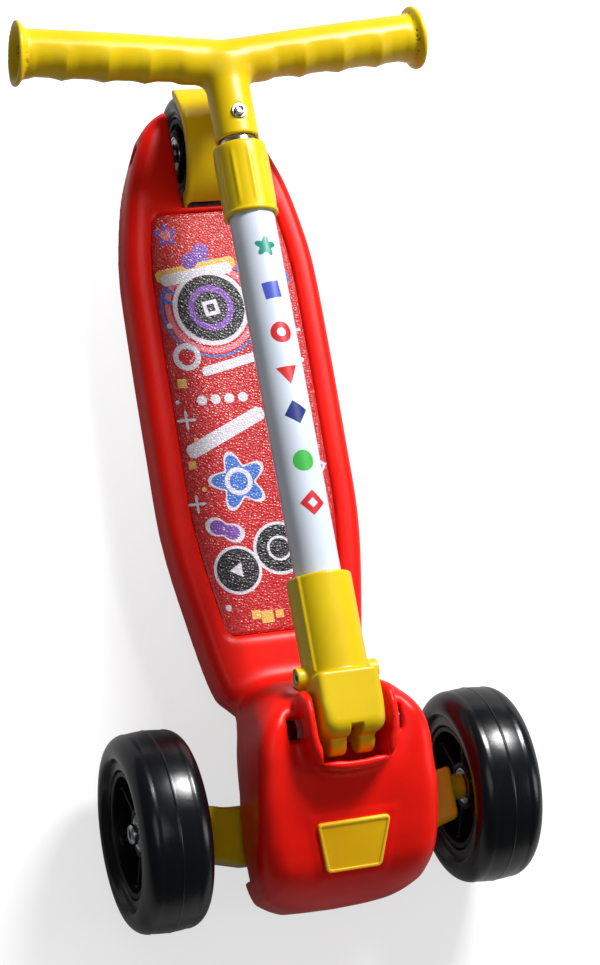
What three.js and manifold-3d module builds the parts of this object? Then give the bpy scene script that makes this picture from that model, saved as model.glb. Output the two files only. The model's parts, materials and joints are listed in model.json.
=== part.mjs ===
// Three wheel kids scooter, folded for carrying and standing on its wheels.
// Millimetres, +Z up. The rider faces -Y, so +X is the rider's left hand and +Y the tail.
// Every place is measured from the front axle's middle (x and y) and from the floor (z).
import * as THREE from 'three';
import { mergeVertices } from 'three/addons/utils/BufferGeometryUtils.js';
import loadManifold from 'manifold-3d';

const wasm = await loadManifold();
wasm.setup();

// Driving sizes

const degree = Math.PI / 180;
const rightAngle = Math.PI / 2;
const gap = 0.3; // between pieces that rest on, or run in, each other
const overrun = 6; // how far a cut passes the face that it starts from

const bolt = { radius: 4, headRadius: 6.2, headHeight: 4.6, nutRadius: 6.6, nutHeight: 5.2 };
const bearing = { radius: 11, width: 7 };
const hubWall = 3.4;
const hubRibShare = 0.7; // of the hub's wall, and of its rim's width
const spacerWall = 2;

const frontWheel = {
  radius: 60, halfWidth: 21.4, crown: 1.7, shoulder: 10.5, halfTrack: 103.4,
  rimOffset: 18.2, treadDepth: 15, castDepth: 22, seatHalfWidth: 16.8,
  innerHub: 9.6, outerHub: 10.4, ribs: 6,
};
const rearWheel = {
  radius: 38, halfWidth: 16, crown: 1.2, shoulder: 8, axleY: 431.5,
  rimOffset: 14.2, treadDepth: 11, castDepth: 15, seatHalfWidth: 13.4,
  innerHub: 15, outerHub: 15, ribs: 5,
};
const wheelSteps = { front: 30, rear: 24, hub: 20 };
const facets = { sleeve: 28, broad: 24, plain: 20, small: 16, thin: 12, slight: 10 };

const deck = {
  front: 58, rear: 460, halfWidth: 64, bottom: 27, top: 53.2,
  rimWidth: 17, recessDepth: 4.5, wall: 3.4, edgeRound: 9, skirtInset: 2.2, rib: 2.4,
};
// Half width of the deck along its length, as shares of the length and of the greatest half width.
const deckOutlineShares = [
  [0, 0.36], [0.028, 0.6], [0.06, 0.73], [0.17, 0.87], [0.3, 0.985], [0.45, 1], [0.6, 1], [0.72, 0.985],
  [0.79, 0.93], [0.86, 0.835], [0.915, 0.71], [0.94, 0.645], [0.962, 0.575], [0.985, 0.42], [1, 0.2],
];
const deckSteps = 46;
const deckRibShares = { across: [0.12, 0.24, 0.36, 0.48, 0.6, 0.72, 0.8], along: [-0.36, 0.36] };

const mat = { front: 111.4, rear: 386, thickness: 1.8, corner: 7 };

const slot = { halfWidth: 19.7, front: 390.5, hiddenFront: 382.6, wall: 4, solidFrom: 404, counterbore: 34 };

const nose = {
  front: 61.3, rear: 78, halfWidth: 56, bottom: 16, crest: 140.5, roundWidth: 17, roundDrop: 40, hollow: 9,
  wall: 3.6, topWall: 5, channelInner: 22, channelOuter: 34, valleyInner: 33, valleyOuter: 41,
  lugHeight: 12, lugHalfWidth: 5,
};
// Plan of the nose, as shares of its half width and of its front or rear length from the axle.
const noseFrontShares = [
  [0, -1], [0.46, -0.98], [0.68, -0.938], [0.83, -0.87], [0.9, -0.81], [0.965, -0.66], [1, -0.48], [1, -0.24],
];
const noseRearShares = [
  [0.99, 0.02], [0.965, 0.19], [0.945, 0.385], [0.91, 0.577], [0.885, 0.71], [0.8, 0.83], [0.62, 0.93],
  [0.32, 0.99],
];
// Section of its flanks: share of the height up to the shoulders, then of the half width.
const noseFlankShares = [
  [0, 0.56], [0.04, 0.63], [0.13, 0.72], [0.27, 0.8], [0.42, 0.885], [0.58, 0.975], [0.76, 1], [1, 1],
];
const innerFlankShares = [[0, 0.56], [0.13, 0.72], [0.42, 0.885], [1, 1]];
// Places of the sections that the nose is drawn through: shares of its front or of its rear length.
const noseStationShares = [
  -0.995, -0.979, -0.938, -0.873, -0.8, -0.7, -0.571, -0.424, -0.277, -0.13,
  0.026, 0.18, 0.333, 0.487, 0.615, 0.718, 0.795, 0.859, 0.91, 0.955, 0.991,
];
const innerStationShares = [-0.93, -0.848, -0.718, -0.489, -0.196, 0.077, 0.308, 0.538, 0.692, 0.795, 0.872];
// The nose's own lines along its length. Each row is a place, as in the sections, and a share of the height
// of its bottom or crest, of the greatest rounding inwards or down, or of the hollow's depth.
const bottomShares = [
  [-1, 2.75], [-0.979, 2.125], [-0.93, 1.56], [-0.881, 1.28], [-0.816, 1.09], [-0.734, 1], [0.769, 1],
  [0.897, 1.125], [1, 1.5],
];
const crestShares = [
  [-1, 0.556], [-0.979, 0.577], [-0.93, 0.627], [-0.848, 0.684], [-0.685, 0.766], [-0.457, 0.83],
  [-0.228, 0.876], [0, 0.918], [0.192, 0.954], [0.385, 0.982], [0.615, 0.979], [0.744, 0.925],
  [0.846, 0.84], [0.923, 0.712], [1, 0.541],
];
const roundWidthShares = [
  [-1, 0.71], [-0.816, 0.88], [-0.489, 0.88], [-0.228, 0.76], [0.192, 0.72], [0.462, 0.7], [0.603, 0.88],
  [0.744, 1], [1, 0.71],
];
const roundDropShares = [
  [-1, 0.35], [-0.816, 0.5], [-0.489, 0.45], [-0.228, 0.35], [0.192, 0.35], [0.462, 0.45],
  [0.603, 0.8], [0.744, 1], [0.897, 0.75], [1, 0.35],
];
const hollowShares = [
  [-1, 0.1], [-0.685, 0.34], [-0.245, 0.39], [0, 0.36], [0.179, 0.45], [0.308, 0.9],
  [0.641, 1], [0.795, 0.55], [1, 0],
];
// The most that the rounding takes of the half width and of the height, and that the hollow's flat bottom
// takes of its breadth.
const roundLimitShares = { across: 0.6, down: 0.8, hollow: 0.65 };

const fold = { y: 40, z: 134, slope: -1.8 * degree };
// Rises and the drop are measured from the fold bolt.
const socket = {
  halfWidth: 20.3, swing: 22.8, wall: 3, lipHalfWidth: 26.3, lipLength: 26.4, rear: 61, flare: 24.6,
  flareLength: 1.2, flareRise: 4, floorDrop: 36, frontRise: 10.5, middleRise: 15, sideRise: 18, earLead: 12,
  earRound: 6,
};
const socketTop = fold.z + socket.sideRise;

const block = {
  halfWidth: 19.3, halfHeight: 22, rear: 28, front: -9.5, frontRound: 9, footReach: 20,
  footInner: 3.9, footOuter: 13.4, footHalfHeight: 10.5, slotEnd: -5, sleeveRadius: 19.4, sleeveEnd: 87.4,
};
const stemBolt = { at: 29.5, radius: 3, bossRadius: 6, bossEnd: 25.4, headRadius: 4.3, headDepth: 3 };
const tube = { radius: 14, wall: 1.5, from: 18.4, to: 358 };
const collar = {
  from: 315, to: 361, topRadius: 16.4, bottomRadius: 16.2, lipRadius: 16.8, lipHeight: 3, cap: 2.6,
  chamfer: 1,
};
const collarRidge = { count: 10, width: 1.3, height: 0.5, inset: 5 };
const clampRing = { from: 338, to: 357, slit: 2.2 };
const innerTube = { radius: 11, wall: 1.3, from: 160, to: 406 };

const handle = {
  socketRadius: 13.6, socketFrom: 366, bar: 418, rise: 5.3 * degree, reach: 131.5, middleRadius: 14.3,
  gripRadius: 15.4, flangeRadius: 20, flangeLength: 8, bumpStart: 49.5, bumpPitch: 26, bumpDepth: 1.7,
  mouthRadius: 18, mouthDepth: 26, mouthThroat: 12.5, mouthEnd: 11, boltAt: 380, gripFull: 80,
};
// Places of the arm's sections: in pitches of the bumps, and as shares of the flange's length from the end.
const bumpShares = [-1, -0.6, -0.25, 0, 0.25, 0.75, 1, 1.25, 1.75, 2, 2.25, 2.6];
const flangeShares = [1, 0.7, 0.45, 0.25, 0];
// Where the bumps begin and end, how steep their sides are, and how far round the bar they reach.
const bumpFadeShares = { start: [-1, -0.6], end: [2.6, 2.95] };
const bumpForm = { steepness: 3.4, spread: 0.7 };
const handleBolt = {
  radius: 2.5, washerRadius: 4.8, washerHeight: 1, headRadius: 3.3, headHeight: 2.6, seat: 12.8,
};

const badge = {
  topHalfWidth: 22.6, bottomHalfWidth: 17, topY: -14.6, bottomY: -41.9, thickness: 2.6, proud: 0.9,
  corner: 3,
};

const kingpin = {
  y: -12, z: 52, lean: 25 * degree, hubRadius: 12.5, hubHalfLength: 17, end: 44, headAt: -43,
};
const bush = { radius: 7, flangeRadius: 11.5, flange: 2 };
const upperBossRadius = 9;
const lowerBossRadius = 13;

const plate = { top: 15.7, thickness: 3, inset: 1 };
const plateShares = { wide: 0.56, long: 0.84 }; // of the nose's plan
const plateSteps = 28;
const plateScrew = {
  radius: 1.8, headRadius: 3.6, headHeight: 2, length: 12, front: -38, frontHalf: 17, rear: 50, rearHalf: 18,
};
const plateScrewPlaces = [
  [-plateScrew.frontHalf, plateScrew.front], [plateScrew.frontHalf, plateScrew.front],
  [-plateScrew.rearHalf, plateScrew.rear], [plateScrew.rearHalf, plateScrew.rear],
];

const axle = { height: frontWheel.radius, armEnd: 83.5, bossRadius: 7.8, nutAt: 68 };
// The axle beam's greatest reach from the axle each way.
const beam = { rear: 13, front: 29, below: 22, above: 13, corner: 4 };
// Its sections: share of the arm's length, then of each reach in the same order.
const beamShares = [
  [0, 0.385, 1, 1, 0.46], [0.311, 0.385, 1, 0.909, 0.46], [0.623, 0.385, 0.966, 0.795, 0.54],
  [0.79, 0.692, 0.845, 0.682, 0.77], [1, 1, 0.672, 0.614, 1],
];
const window = { front: -39, rear: 17, bottom: 33, top: 74, from: 24, to: 70 };

const latch = {
  halfWidth: 3.3, front: 33.5, rear: 42.5, tabHalfWidth: 11, tabRear: 54, bottom: 7.5, tabHeight: 4.6,
  collarAt: 62, collarHeight: 3, collarHalf: 7.4, guideTop: 33, guideHalf: 8.6,
};
const latchSpring = { radius: 7, wire: 0.7, turns: 6, steps: 8, sides: 5 };

const brake = {
  inner: 40.8, outer: 43.8, halfWidth: 18.6, earThickness: 1.8, frontAngle: 157, rearAngle: 42,
  skirt: 3.2, pivotY: 388.5, pivotZ: 42, pinRadius: 2, pinEnd: 23, tubeRadius: 3.9, springHalf: 8,
};
const brakeSpring = { radius: 3.5, wire: 0.6, turns: 5, steps: 8, sides: 5 };

// Points on the axes of what turns or fastens; those of the stem are in its own frame.
const origin = [0, 0, 0];
const foldPlace = [0, fold.y, fold.z];
const rearAxlePlace = [0, rearWheel.axleY, rearWheel.radius];
const brakePlace = [0, brake.pivotY, brake.pivotZ];
const stemBoltPlace = [0, stemBolt.at, 0];
const handleBoltPlace = [0, handle.boltAt, 0];

// Colours and finishes

const finishes = {
  redPlastic: { color: '#e0170c', roughness: 0.28, metalness: 0 },
  yellowPlastic: { color: '#e9cf14', roughness: 0.34, metalness: 0 },
  badgePlastic: { color: '#f2b40c', roughness: 0.35, metalness: 0 },
  tyre: { color: '#14161b', roughness: 0.22, metalness: 0 },
  blackPlastic: { color: '#1b1c20', roughness: 0.5, metalness: 0 },
  rubber: { color: '#26272b', roughness: 0.8, metalness: 0 },
  whiteTube: { color: '#dfe6f0', roughness: 0.3, metalness: 0.1 },
  steel: { color: '#c9ccd0', roughness: 0.25, metalness: 1 },
  mat: { color: '#c8222c', roughness: 0.3, metalness: 0 },
};

// Solids from three.js geometries

function signedVolume(points, triangles) {
  const [a, b, c] = [new THREE.Vector3(), new THREE.Vector3(), new THREE.Vector3()];
  let total = 0;
  for (let i = 0; i < triangles.length; i += 3) {
    a.fromBufferAttribute(points, triangles[i]);
    b.fromBufferAttribute(points, triangles[i + 1]);
    c.fromBufferAttribute(points, triangles[i + 2]);
    total += a.dot(b.cross(c));
  }
  return total;
}

// The closed solid of a geometry, with its faces turned outwards.
function solid(geometry) {
  const bare = geometry.clone();
  for (const name of Object.keys(bare.attributes)) {
    if (name !== 'position') bare.deleteAttribute(name);
  }
  const merged = mergeVertices(bare);
  const points = merged.attributes.position;
  let triangles = [];
  for (let i = 0; i < merged.index.count; i += 3) {
    const [a, b, c] = [0, 1, 2].map((corner) => merged.index.getX(i + corner));
    if (a !== b && b !== c && c !== a) triangles.push(a, b, c);
  }
  if (signedVolume(points, triangles) < 0) triangles = triangles.reverse();
  return new wasm.Manifold(new wasm.Mesh({
    numProp: 3, vertProperties: new Float32Array(points.array), triVerts: new Uint32Array(triangles),
  }));
}

function geometryOf(body) {
  const mesh = body.getMesh();
  const geometry = new THREE.BufferGeometry();
  geometry.setAttribute('position', new THREE.BufferAttribute(new Float32Array(mesh.vertProperties), 3));
  geometry.setIndex(new THREE.BufferAttribute(new Uint32Array(mesh.triVerts), 1));
  geometry.computeVertexNormals();
  return geometry;
}

// Two places on one side of the middle, the lower first; side is 1 or -1.
const onSide = (side, near, far) => [side * near, side * far].sort((a, b) => a - b);
const join = (...bodies) => bodies.flat().reduce((whole, body) => whole.add(body));
const cut = (body, ...tools) => tools.flat().reduce((rest, tool) => rest.subtract(tool), body);

// Axes of an outline's own x, its own y and its depth, for each direction that a shape runs in.
const unit = { x: new THREE.Vector3(1, 0, 0), y: new THREE.Vector3(0, 1, 0), z: new THREE.Vector3(0, 0, 1) };
const directions = {
  x: new THREE.Matrix4().makeBasis(unit.y, unit.z, unit.x),
  y: new THREE.Matrix4().makeBasis(unit.x, unit.z, unit.y),
  z: new THREE.Matrix4(),
};

// An outline drawn across an axis and run along it from one place to another.
function prism(outline, axis, from, to, curveSegments = 5) {
  const shape = outline instanceof THREE.Shape
    ? outline
    : new THREE.Shape(outline.map(([u, v]) => new THREE.Vector2(u, v)));
  const geometry = new THREE.ExtrudeGeometry(shape, { depth: to - from, bevelEnabled: false, curveSegments });
  geometry.translate(0, 0, from);
  geometry.applyMatrix4(directions[axis]);
  return solid(geometry);
}

function box(low, high) {
  const size = high.map((value, i) => value - low[i]);
  const geometry = new THREE.BoxGeometry(...size);
  geometry.translate(...low.map((value, i) => value + size[i] / 2));
  return solid(geometry);
}

// A profile of [radius, place] points, turned about an axis through the given point.
const turnAxes = {
  x: new THREE.Matrix4().makeRotationZ(-rightAngle),
  y: new THREE.Matrix4(),
  z: new THREE.Matrix4().makeRotationX(rightAngle),
};
function turned(profile, axis, centre = origin, steps = facets.plain) {
  const geometry = new THREE.LatheGeometry(profile.map(([r, h]) => new THREE.Vector2(r, h)), steps);
  geometry.applyMatrix4(turnAxes[axis]);
  geometry.translate(...centre);
  return solid(geometry);
}
const rod = (radius, from, to, axis, centre = origin, steps = facets.plain) =>
  turned([[0, from], [radius, from], [radius, to], [0, to]], axis, centre, steps);
const ring = (inner, outer, from, to, axis, centre = origin, steps = facets.plain) =>
  turned([[inner, from], [outer, from], [outer, to], [inner, to], [inner, from]], axis, centre, steps);
const hexagon = (radius, from, to, axis, centre = origin) => rod(radius, from, to, axis, centre, 6);

// A closed skin over rings of points, each with the same count, with a fan over both ends.
function loft(rings) {
  const count = rings[0].length;
  const middles = [rings[0], rings[rings.length - 1]].map((points) =>
    points.reduce((sum, point) => sum.add(point), new THREE.Vector3()).divideScalar(count));
  const points = [...rings.flat(), ...middles];
  const triangles = [];
  const last = (rings.length - 1) * count;
  for (let j = 0; j < count; j += 1) {
    const next = (j + 1) % count;
    for (let i = 0; i < last; i += count) {
      triangles.push(i + j, i + next, i + count + next, i + j, i + count + next, i + count + j);
    }
    triangles.push(rings.length * count, next, j);
    triangles.push(rings.length * count + 1, last + j, last + next);
  }
  const geometry = new THREE.BufferGeometry().setFromPoints(points);
  geometry.setIndex(triangles);
  return solid(geometry);
}

// A round wire wound about Z through the given point, as one unbroken tube.
function coil(spring, from, to, centre) {
  const steps = spring.turns * spring.steps;
  const rings = Array.from({ length: steps + 1 }, (_, i) => {
    const share = i / steps;
    const angle = share * spring.turns * 2 * Math.PI;
    const out = new THREE.Vector3(Math.cos(angle), Math.sin(angle), 0);
    const middle = out.clone().multiplyScalar(spring.radius);
    middle.z = from + spring.wire + share * (to - from - 2 * spring.wire);
    return Array.from({ length: spring.sides }, (__, j) => {
      const turn = (j / spring.sides) * 2 * Math.PI;
      const point = middle.clone().addScaledVector(out, spring.wire * Math.cos(turn));
      point.z += spring.wire * Math.sin(turn);
      return point.add(centre);
    });
  });
  return loft(rings);
}

// The least distance between neighbouring turns of a wound wire.
const coilGap = (spring, from, to) =>
  (to - from - 2 * spring.wire) / spring.turns - 2 * spring.wire;

const blend = (low, high, value) => THREE.MathUtils.smoothstep(value, low, high);

// The points of a smooth line through a table's rows.
function smoothed(table) {
  const curve = new THREE.CatmullRomCurve3(
    table.map(([at, value]) => new THREE.Vector3(at, value, 0)), false, 'centripetal');
  return curve.getPoints(8 * table.length).map((point) => [point.x, point.y]);
}

// The value of a table's line at a place.
function along(table, place) {
  const next = table.findIndex(([at]) => at >= place);
  if (next < 0) return table[table.length - 1][1];
  if (next === 0) return table[0][1];
  const [[a, va], [b, vb]] = [table[next - 1], table[next]];
  return va + ((vb - va) * (place - a)) / (b - a);
}

// A smooth closed outline through points of one side and their mirror images.
function mirroredOutline(side, steps) {
  const right = side.map(([x, y]) => new THREE.Vector3(x, y, 0));
  const left = side.filter(([x]) => x > 0).map(([x, y]) => new THREE.Vector3(-x, y, 0)).reverse();
  const curve = new THREE.CatmullRomCurve3([...right, ...left], true, 'centripetal');
  return curve.getSpacedPoints(steps).slice(0, steps);
}

// Moves an outline inwards by a distance, square to its own line.
function inset(outline, distance) {
  return outline.map((point, i) => {
    const before = outline[(i + outline.length - 1) % outline.length];
    const after = outline[(i + 1) % outline.length];
    const inward = new THREE.Vector3(before.y - after.y, after.x - before.x, 0).normalize();
    return point.clone().addScaledVector(inward, distance);
  });
}
const raised = (outline, height) => outline.map((point) => new THREE.Vector3(point.x, point.y, height));

// Wheels: a tyre with rounded shoulders on a ribbed hub, about X with the outer side at +X

function tyre(wheel, steps) {
  const flat = wheel.halfWidth - wheel.shoulder;
  const shoulderRadius = wheel.radius - wheel.crown - wheel.shoulder;
  const half = [[wheel.radius, 0], [wheel.radius - wheel.crown / 4, flat / 2]];
  for (let i = 0; i <= 3; i += 1) {
    const angle = (i / 3) * rightAngle;
    half.push([shoulderRadius + wheel.shoulder * Math.cos(angle), flat + wheel.shoulder * Math.sin(angle)]);
  }
  half.push([wheel.radius - wheel.treadDepth, wheel.rimOffset]);
  half.push([wheel.radius - wheel.castDepth, wheel.seatHalfWidth]);
  const mirrored = half.slice(1).map(([r, h]) => [r, -h]).reverse();
  return turned([...mirrored, ...half, mirrored[0]], 'x', origin, steps);
}

function hub(wheel, steps) {
  const outer = wheel.radius - wheel.castDepth - gap;
  const inner = outer - hubWall;
  const boss = bearing.radius + gap + hubWall;
  const web = hubWall / 2;
  const seat = bearing.width + gap;
  const rim = wheel.seatHalfWidth - gap;
  const body = turned([
    [bearing.radius + gap, -wheel.innerHub], [boss, -wheel.innerHub], [boss, -web], [inner, -web],
    [inner, -rim], [outer, -rim], [outer, rim], [inner, rim], [inner, web], [boss, web],
    [boss, wheel.outerHub], [bearing.radius + gap, wheel.outerHub],
    [bearing.radius + gap, wheel.outerHub - seat], [bearing.radius - hubWall, wheel.outerHub - seat],
    [bearing.radius - hubWall, seat - wheel.innerHub],
    [bearing.radius + gap, seat - wheel.innerHub], [bearing.radius + gap, -wheel.innerHub],
  ], 'x', origin, steps);
  const ribHalf = rim * hubRibShare;
  const ribs = Array.from({ length: wheel.ribs }, (_, i) => {
    const geometry = new THREE.BoxGeometry(2 * ribHalf, hubWall * hubRibShare, inner + gap - boss + hubWall);
    geometry.translate(0, 0, (inner + boss) / 2);
    geometry.rotateX((i / wheel.ribs) * 2 * Math.PI);
    return solid(geometry);
  });
  return join(body, ribs);
}

const bearingSolid = (from) =>
  ring(bolt.radius + gap, bearing.radius, from, from + bearing.width, 'x', origin, facets.small);
const spacerSolid = (from, to) =>
  ring(bolt.radius + gap, bolt.radius + gap + spacerWall, from, to, 'x', origin, facets.thin);

// Deck

const deckLength = deck.rear - deck.front;
const deckSide = deckOutlineShares.map(([long, wide]) =>
  [wide * deck.halfWidth, deck.front + long * deckLength]);
const deckSideLine = smoothed(deckSide.map(([x, y]) => [y, x]));
const deckHalfWidth = (y) => along(deckSideLine, y);
const deckOutline = mirroredOutline(deckSide, deckSteps);

function deckBody() {
  const round = deck.edgeRound;
  const side = [
    [deck.skirtInset, deck.bottom], [deck.skirtInset / 4, deck.bottom + deck.skirtInset],
    [0, deck.bottom + round],
  ];
  const rings = side.map(([inward, z]) => raised(inset(deckOutline, inward), z));
  for (let i = 0; i <= 4; i += 1) {
    const angle = (i / 4) * rightAngle;
    const height = deck.top - round + round * Math.sin(angle);
    rings.push(raised(inset(deckOutline, round * (1 - Math.cos(angle))), height));
  }
  return loft(rings);
}

// The outline of the mat's recess: the deck's own line less the rim, between straight ends.
function recessOutline(rim, reach, steps) {
  const front = mat.front - reach;
  const rear = mat.rear + reach;
  const side = Array.from({ length: steps + 1 }, (_, i) => {
    const y = front + (rear - front) * (1 - Math.cos((i / steps) * Math.PI)) / 2;
    const near = Math.min(1, Math.min(y - front, rear - y) / mat.corner);
    const corner = mat.corner * (1 - Math.sqrt(1 - (1 - near) ** 2));
    return new THREE.Vector3(deckHalfWidth(y) - rim - corner, y, 0);
  });
  const mirror = side.map((point) => new THREE.Vector3(-point.x, point.y, 0)).reverse();
  return [...side, ...mirror];
}

const recessSteps = 16;
const recessFloor = deck.top - deck.recessDepth;

function recessCut() {
  // The rim falls from its crest to the recess over the inner half of its width.
  const fallShares = [[0, 0], [0.02, 0.4], [0.1, 0.66], [0.24, 0.88], [0.42, 1], [0.42, 1.6]];
  return loft(fallShares.map(([inward, upward]) => {
    const reach = inward * deck.rimWidth;
    const outline = recessOutline(deck.rimWidth - reach, reach, recessSteps);
    return raised(outline, recessFloor + upward * deck.recessDepth);
  }));
}

function matSolid() {
  const outline = recessOutline(deck.rimWidth + gap, -gap, recessSteps);
  return loft([raised(outline, recessFloor + gap), raised(outline, recessFloor + gap + mat.thickness)]);
}

function deckHollow() {
  const outline = inset(deckOutline, deck.wall + deck.skirtInset);
  const hollow = loft([raised(outline, deck.bottom - overrun), raised(outline, recessFloor - deck.wall)]);
  const tail = box(
    [-deck.halfWidth, slot.solidFrom, deck.bottom - 2 * overrun],
    [deck.halfWidth, deck.rear + overrun, deck.top]);
  const slotWalls = box(
    [-slot.halfWidth - slot.wall, slot.hiddenFront - slot.wall, deck.bottom - 2 * overrun],
    [slot.halfWidth + slot.wall, deck.rear + overrun, deck.top]);
  const across = deckRibShares.across.map((share) => {
    const y = deck.front + share * deckLength;
    return box(
      [-deck.halfWidth, y - deck.rib / 2, deck.bottom], [deck.halfWidth, y + deck.rib / 2, deck.top]);
  });
  const lengthwise = deckRibShares.along.map((share) => {
    const x = share * deck.halfWidth;
    return box([x - deck.rib / 2, deck.front, deck.bottom], [x + deck.rib / 2, deck.rear, deck.top]);
  });
  return cut(hollow, tail, slotWalls, across, lengthwise);
}

function slotCuts() {
  const half = slot.halfWidth;
  const tool = [
    box([-half, slot.front, deck.bottom - overrun], [half, deck.rear + overrun, deck.top + overrun]),
    box([-half, slot.hiddenFront, deck.bottom - overrun], [half, slot.front + overrun, recessFloor - gap]),
    rod(brake.pinRadius + gap, -brake.pinEnd - gap, brake.pinEnd + gap, 'x', brakePlace, facets.thin),
    rod(bolt.radius + gap, -deck.halfWidth, deck.halfWidth, 'x', rearAxlePlace, facets.small),
  ];
  for (const side of [-1, 1]) {
    const ends = onSide(side, slot.counterbore, deck.halfWidth);
    tool.push(rod(bolt.headRadius + 2 * gap, ...ends, 'x', rearAxlePlace, facets.small));
  }
  return tool;
}

// Nose: a broad top, dished along its middle, over walls that draw in towards the floor

const nosePlan = [
  ...noseFrontShares.map(([wide, long]) => [wide * nose.halfWidth, long * nose.front]),
  ...noseRearShares.map(([wide, long]) => [wide * nose.halfWidth, long * nose.rear]), [0, nose.rear],
];
const nosePlanLine = smoothed(nosePlan.map(([x, y]) => [y, x]));
const nosePlace = (share) => share * (share < 0 ? nose.front : nose.rear);
const noseLine = (shares, size) => smoothed(shares.map(([place, share]) => [nosePlace(place), share * size]));
const bottomLine = bottomShares.map(([place, share]) => [nosePlace(place), share * nose.bottom]);
const crestLine = noseLine(crestShares, nose.crest);
const hollowLine = noseLine(hollowShares, nose.hollow);
const roundWidthLine = noseLine(roundWidthShares, nose.roundWidth);
const roundDropLine = noseLine(roundDropShares, nose.roundDrop);

// The hollow's edges: beside the badge in front, and beside the socket's cheeks behind.
function hollowEdges(y, limit) {
  const back = blend(badge.topY, fold.y, y);
  const outer = Math.min(limit, nose.channelOuter + (nose.valleyOuter - nose.channelOuter) * back);
  const flat = nose.channelInner + (nose.valleyInner - nose.channelInner) * back;
  const inner = Math.min(roundLimitShares.hollow * outer, flat);
  return [back > 0.5 ? Math.max(inner, outer - (nose.valleyOuter - nose.valleyInner)) : inner, outer];
}

const noseTop = (y) => along(crestLine, y) - along(hollowLine, y);

// One section across the nose at y, shaped as it is at the place given, less the walls.
function noseSection(y, place, flank, wall, topWall) {
  const bottom = along(bottomLine, place);
  const wide = along(nosePlanLine, place) - wall;
  const crest = Math.min(along(crestLine, y), along(crestLine, place)) - topWall;
  const depth = Math.max(along(hollowLine, y), along(hollowLine, place));
  const across = Math.min(along(roundWidthLine, place), roundLimitShares.across * wide);
  const down = Math.min(along(roundDropLine, place), roundLimitShares.down * (crest - bottom));
  const spread = wall > 0 ? topWall : 0;
  const [inner, outer] = hollowEdges(place, wide - across).map((edge) => edge + spread);
  const roundSteps = flank.length / 2;
  const half = flank.map(([upward, share]) => [wide * share, bottom + upward * (crest - down - bottom)]);
  const lowest = wall > 0 ? bottom - overrun : bottom;
  if (wall > 0) half.unshift([half[0][0], lowest]);
  for (let i = 1; i <= roundSteps; i += 1) {
    const angle = (i / roundSteps) * rightAngle;
    half.push([wide - across * (1 - Math.cos(angle)), crest - down * (1 - Math.sin(angle))]);
  }
  for (let i = 0; i <= roundSteps; i += 1) {
    const x = outer + (inner - outer) * (i / roundSteps);
    half.push([x, crest - depth * (1 - blend(inner, outer, x))]);
  }
  const right = half.map(([x, z]) => new THREE.Vector3(x, y, z));
  const left = half.map(([x, z]) => new THREE.Vector3(-x, y, z)).reverse();
  return [new THREE.Vector3(0, y, lowest), ...right, new THREE.Vector3(0, y, crest - depth), ...left];
}

const noseOutside = () =>
  loft(noseStationShares.map(nosePlace).map((y) => noseSection(y, y, noseFlankShares, 0, 0)));

// The space inside the nose, open below.
const noseInside = () => loft(innerStationShares.map(nosePlace).map((y) => {
  const end = y < 0 ? nose.front : nose.rear;
  const place = (y * end) / (end - nose.wall);
  return noseSection(y, place, innerFlankShares, nose.wall, nose.topWall);
}));

// The side view of the socket's lip: sloping up from the front, with rounded ears behind.
function lipSideView() {
  const shape = new THREE.Shape();
  const front = fold.y - socket.lipLength - gap;
  const floor = fold.z - socket.floorDrop;
  shape.moveTo(front - overrun, floor);
  shape.lineTo(front - overrun, fold.z + socket.frontRise);
  shape.lineTo(front, fold.z + socket.frontRise);
  shape.lineTo(fold.y - socket.earLead, fold.z + socket.middleRise);
  shape.lineTo(fold.y, socketTop);
  shape.quadraticCurveTo(socket.rear, socketTop, socket.rear, fold.z + socket.earRound);
  shape.lineTo(socket.rear, floor);
  return shape;
}

function lipWall() {
  const shape = new THREE.Shape();
  const half = socket.lipHalfWidth;
  shape.moveTo(half, socket.rear + overrun);
  shape.lineTo(half, fold.y);
  shape.absellipse(0, fold.y, half, socket.lipLength, 0, Math.PI, true);
  shape.lineTo(-half, socket.rear + overrun);
  const wall = prism(shape, 'z', fold.z - socket.floorDrop, socketTop + overrun, facets.plain);
  return wall.intersect(prism(lipSideView(), 'x', -half - overrun, half + overrun));
}

// The folded block's lower rear corner, which lands on the saddle behind the socket.
const saddle = fold.z - block.halfHeight * Math.cos(fold.slope) + block.rear * Math.sin(fold.slope) - gap;

// The space that the fold block needs, grown by a wall where one is given.
function socketSpace(wall) {
  const half = socket.halfWidth + wall;
  const top = socketTop + 2 * overrun;
  const reach = socket.swing + wall;
  return join(
    rod(reach, -half, half, 'x', foldPlace, facets.broad),
    box([-half, fold.y, saddle - wall], [half, nose.rear + 3 * overrun, top]),
    box([-half, fold.y - reach + 2 * gap, fold.z], [half, fold.y + gap, top]));
}

function lipFlare() {
  const levels = [[0, fold.z + socket.flareRise], [1, socketTop], [1, socketTop + overrun]];
  return loft(levels.map(([share, z]) => {
    const half = socket.halfWidth + share * (socket.flare - socket.halfWidth);
    const length = socket.swing + share * socket.flareLength;
    const bow = Array.from({ length: facets.small + 1 }, (_, i) => {
      const angle = Math.PI + (i / facets.small) * Math.PI;
      return new THREE.Vector3(half * Math.cos(angle), fold.y + length * Math.sin(angle), z);
    });
    const rear = [half, -half].map((x) => new THREE.Vector3(x, socket.rear + overrun, z));
    return [...bow, ...rear];
  }));
}

// Places a body made about the kingpin's own axis, with +Z up along the pin.
function onKingpin(body) {
  return body.rotate([kingpin.lean / degree, 0, 0]).translate([0, kingpin.y, kingpin.z]);
}

const badgeSlope = Math.atan2(noseTop(badge.topY) - noseTop(badge.bottomY), badge.topY - badge.bottomY);
const badgeMiddle = (badge.topY + badge.bottomY) / 2;
const badgeLength = (badge.topY - badge.bottomY) / Math.cos(badgeSlope);

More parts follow.
